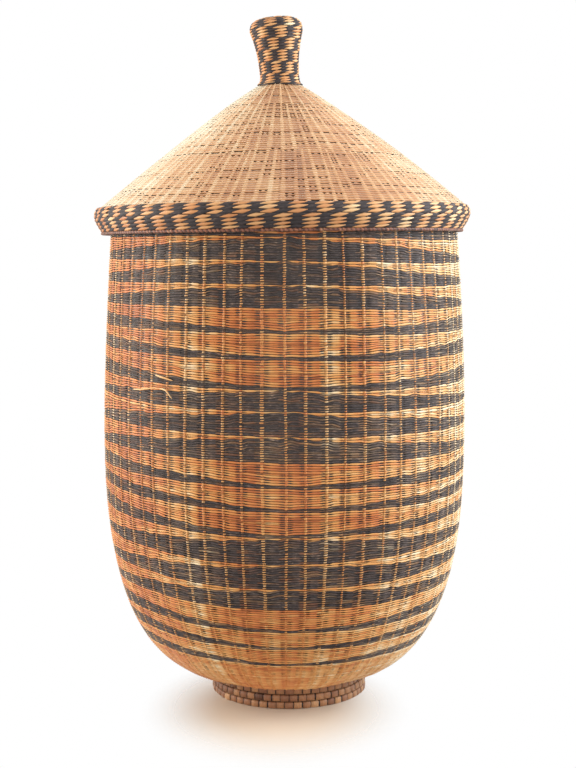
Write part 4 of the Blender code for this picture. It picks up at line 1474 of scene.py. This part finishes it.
def make_bricks(name, node, row, radius, middle, half_high, finish):
    """One row of sewn stitches: sections drawn in at both ends, half a brick along in every other row."""
    step = math.tau / FOOT_BRICKS
    turn = step * (np.arange(FOOT_BRICKS) + 0.5 * (row % 2))
    turn = turn + RANDOM.normal(0.0, BRICK_STRAY, FOOT_BRICKS) * step
    half = step * BRICK_HALF * RANDOM.uniform(*BRICK_SIZES, FOOT_BRICKS)
    radius = radius + per_patch(RANDOM.normal(0.0, BRICK_WOBBLE, FOOT_BRICKS))
    bearing = per_patch(turn) + per_patch(half) * BRICK_ALONG[None, :, None]
    inset = BRICK_INSET[None, :, None]
    half_high = half_high * at_least(BRICK_LEAST, inset)
    points = foot_section(bearing, radius, FOOT_WIDTH / 2 * inset, middle, half_high)
    quads, brick, along, side = patch_faces(*points.shape[:3], False, True)
    strand = np.stack([side * BRICK_GRAIN[0], along * BRICK_GRAIN[1] + brick * NEXT_ALONG], axis=-1)
    bake_across = in_cell(brick, FOOT_BRICKS, along / (len(BRICK_ALONG) - 1), BRICK_MARGIN)
    faces = (quads, strand, np.stack([bake_across, side / FOOT_SIDES], axis=-1))
    top_gap = BRICK_TOP_GAPS[row] * np.abs(np.sin(even_turn(FOOT_SIDES))) ** BRICK_TOP_POWER
    gap = np.broadcast_to(np.maximum(BRICK_END_GAP[:, None], top_gap), points.shape[:3])
    tone = per_patch(RANDOM.normal(*BRICK_TONE, FOOT_BRICKS))
    add_piece(name, points, faces, marks(gap, 0.0, tone), finish, [node])


def make_core(name, node, radius, middle, half_high, finish):
    """Core of a row painted in full shade, the same section all the way round, which shows between the
    bricks.
    """
    bearing = even_turn(CORE_COLUMNS)[:, None]
    points = foot_section(bearing, radius, CORE_SHARE * FOOT_WIDTH / 2, middle, CORE_SHARE * half_high)[None]
    quads, _, step, side = patch_faces(*points.shape[:3], True, True)
    strand = np.stack([side * CORE_GRAIN[0], step * CORE_GRAIN[1]], axis=-1)
    faces = (quads, strand, np.stack([step / CORE_COLUMNS, side / FOOT_SIDES], axis=-1))
    add_piece(name, points, faces, marks(np.ones(points.shape[:3]), 0.0, CORE_TONE), finish, [node])


def make_foot(finish):
    """Foot of sewn rows, each of brick-like stitches round a core painted in full shade."""
    radius = FOOT_RADIUS - FOOT_WIDTH / 2
    for row, place in enumerate(FOOT_ROWS):
        node = f"foot_coil_{place}"
        low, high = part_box(node)
        middle, half_high = (high.z + low.z) / 2, (high.z - low.z) / 2
        make_bricks(f"foot_bricks_{place}", node, row, radius, middle, half_high, finish)
        make_core(f"foot_core_{place}", node, radius, middle, half_high, finish)


def make_surroundings(scene):
    """White surroundings, which light the object less than the camera sees of them."""
    scene.view_settings.view_transform = "Standard"
    world = bpy.data.worlds.new("studio")
    scene.world = world
    world.use_nodes = True
    tree = world.node_tree
    rays = add_node(tree, "ShaderNodeLightPath").outputs
    seen = rays["Is Camera Ray"]
    for kind in ("Is Glossy Ray", "Is Transmission Ray"):
        seen = add_node(tree, "ShaderNodeMath", {0: seen, 1: rays[kind]}, operation="MAXIMUM")
    strength = add_node(tree, "ShaderNodeMapRange", {"Value": seen, "To Min": SURROUND_LIGHT, "To Max": 1.0})
    set_inputs(tree.nodes["Background"], {"Color": opaque(SURROUND_COLOUR), "Strength": strength})


def make_floor(scene):
    """Pale floor that fades into the surroundings."""
    corners = [(x * FLOOR_HALF, y * FLOOR_HALF, 0) for x, y in ((-1, -1), (1, -1), (1, 1), (-1, 1))]
    mesh = bpy.data.meshes.new("floor")
    mesh.from_pydata(corners, [], [(0, 1, 2, 3)])
    floor = bpy.data.objects.new("floor", mesh)
    scene.collection.objects.link(floor)
    finish, tree, shader = new_finish("painted_floor")
    set_inputs(shader, {"Base Color": opaque(FLOOR_COLOUR), "Roughness": FLOOR_ROUGHNESS})
    place = add_node(tree, "ShaderNodeTexCoord").outputs["Object"]
    inputs = {"Vector": place, "Location": FADE_OFFSET, "Scale": FADE_SCALE}
    centred = add_node(tree, "ShaderNodeMapping", inputs)
    far = add_node(tree, "ShaderNodeVectorMath", {0: centred}, operation="LENGTH").outputs["Value"]
    inputs = {"Value": far, "From Min": FADE_FROM, "From Max": FADE_TO}
    fade = add_node(tree, "ShaderNodeMapRange", inputs, interpolation_type="SMOOTHSTEP")
    clear = add_node(tree, "ShaderNodeBsdfTransparent")
    mix = add_node(tree, "ShaderNodeMixShader", {0: fade, 1: shader, 2: clear})
    set_inputs(tree.nodes["Material Output"], {"Surface": mix})
    mesh.materials.append(finish)


def make_lamps(scene):
    """Studio light."""
    for name, (spot, target, size, power, code) in LAMPS.items():
        lamp = bpy.data.lights.new(name, "AREA")
        lamp.size = size
        lamp.energy = power
        lamp.color = linear(code)
        item = bpy.data.objects.new(name, lamp)
        item.rotation_euler = (Vector(target) - Vector(spot)).to_track_quat("-Z", "Y").to_euler()
        item.location = spot
        scene.collection.objects.link(item)


def make_camera(scene):
    """Camera of the photograph: distance, height and tilt found from the outline's proportions."""
    data = bpy.data.cameras.new("camera")
    data.sensor_width = CAMERA_SENSOR
    data.lens = CAMERA_LENS
    camera = bpy.data.objects.new("camera", data)
    turn = Matrix.Rotation(CAMERA_TILT, 4, "X") @ Matrix.Rotation(CAMERA_ROLL, 4, "Z")
    camera.matrix_world = Matrix.Translation(CAMERA_PLACE) @ turn
    scene.collection.objects.link(camera)
    scene.camera = camera


def build():
    """Make every visible piece, the stage and the camera."""
    finishes = make_finishes()
    back = finishes["back"]
    wall, lid, band, knob = wall_outline(), lid_outline(), band_outline(), knob_outline()
    make_wall(finishes["wall"])
    skins = ["wall_weave", "base_weave"]
    backing("wall_inside", wall, CENTRE_HOLE, wall.length, back, skins)
    make_loose_ends(finishes["wall"])
    make_foot(finishes["foot"])
    wrapped_ring("rim_wrapping", "rim_border", RIM_WRAPS, finishes["border"])
    make_lid_cone(finishes["lid"])
    backing("lid_inside", lid, 0.0, lid.length, back, ["lid_weave"])
    make_lid_band(band, finishes["stitch"])
    backing("lid_band_inside", band, 0.0, band.length, back, ["lid_band"], dented=False)
    make_knob(knob, finishes["stitch"])
    backing("knob_inside", knob, 0.0, knob.length * KNOB_END, back, ["knob_weave"], dented=False)
    wrapped_ring("lid_border_wrapping", "lid_border", BORDER_WRAPS, finishes["border"], BORDER_SLACK)
    make_lid_stakes(back)
    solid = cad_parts["wall_stakes"]
    solid.data.materials.clear()
    solid.data.materials.append(finishes["stake"])
    scene = bpy.context.scene
    make_surroundings(scene)
    make_floor(scene)
    make_lamps(scene)
    make_camera(scene)


build()
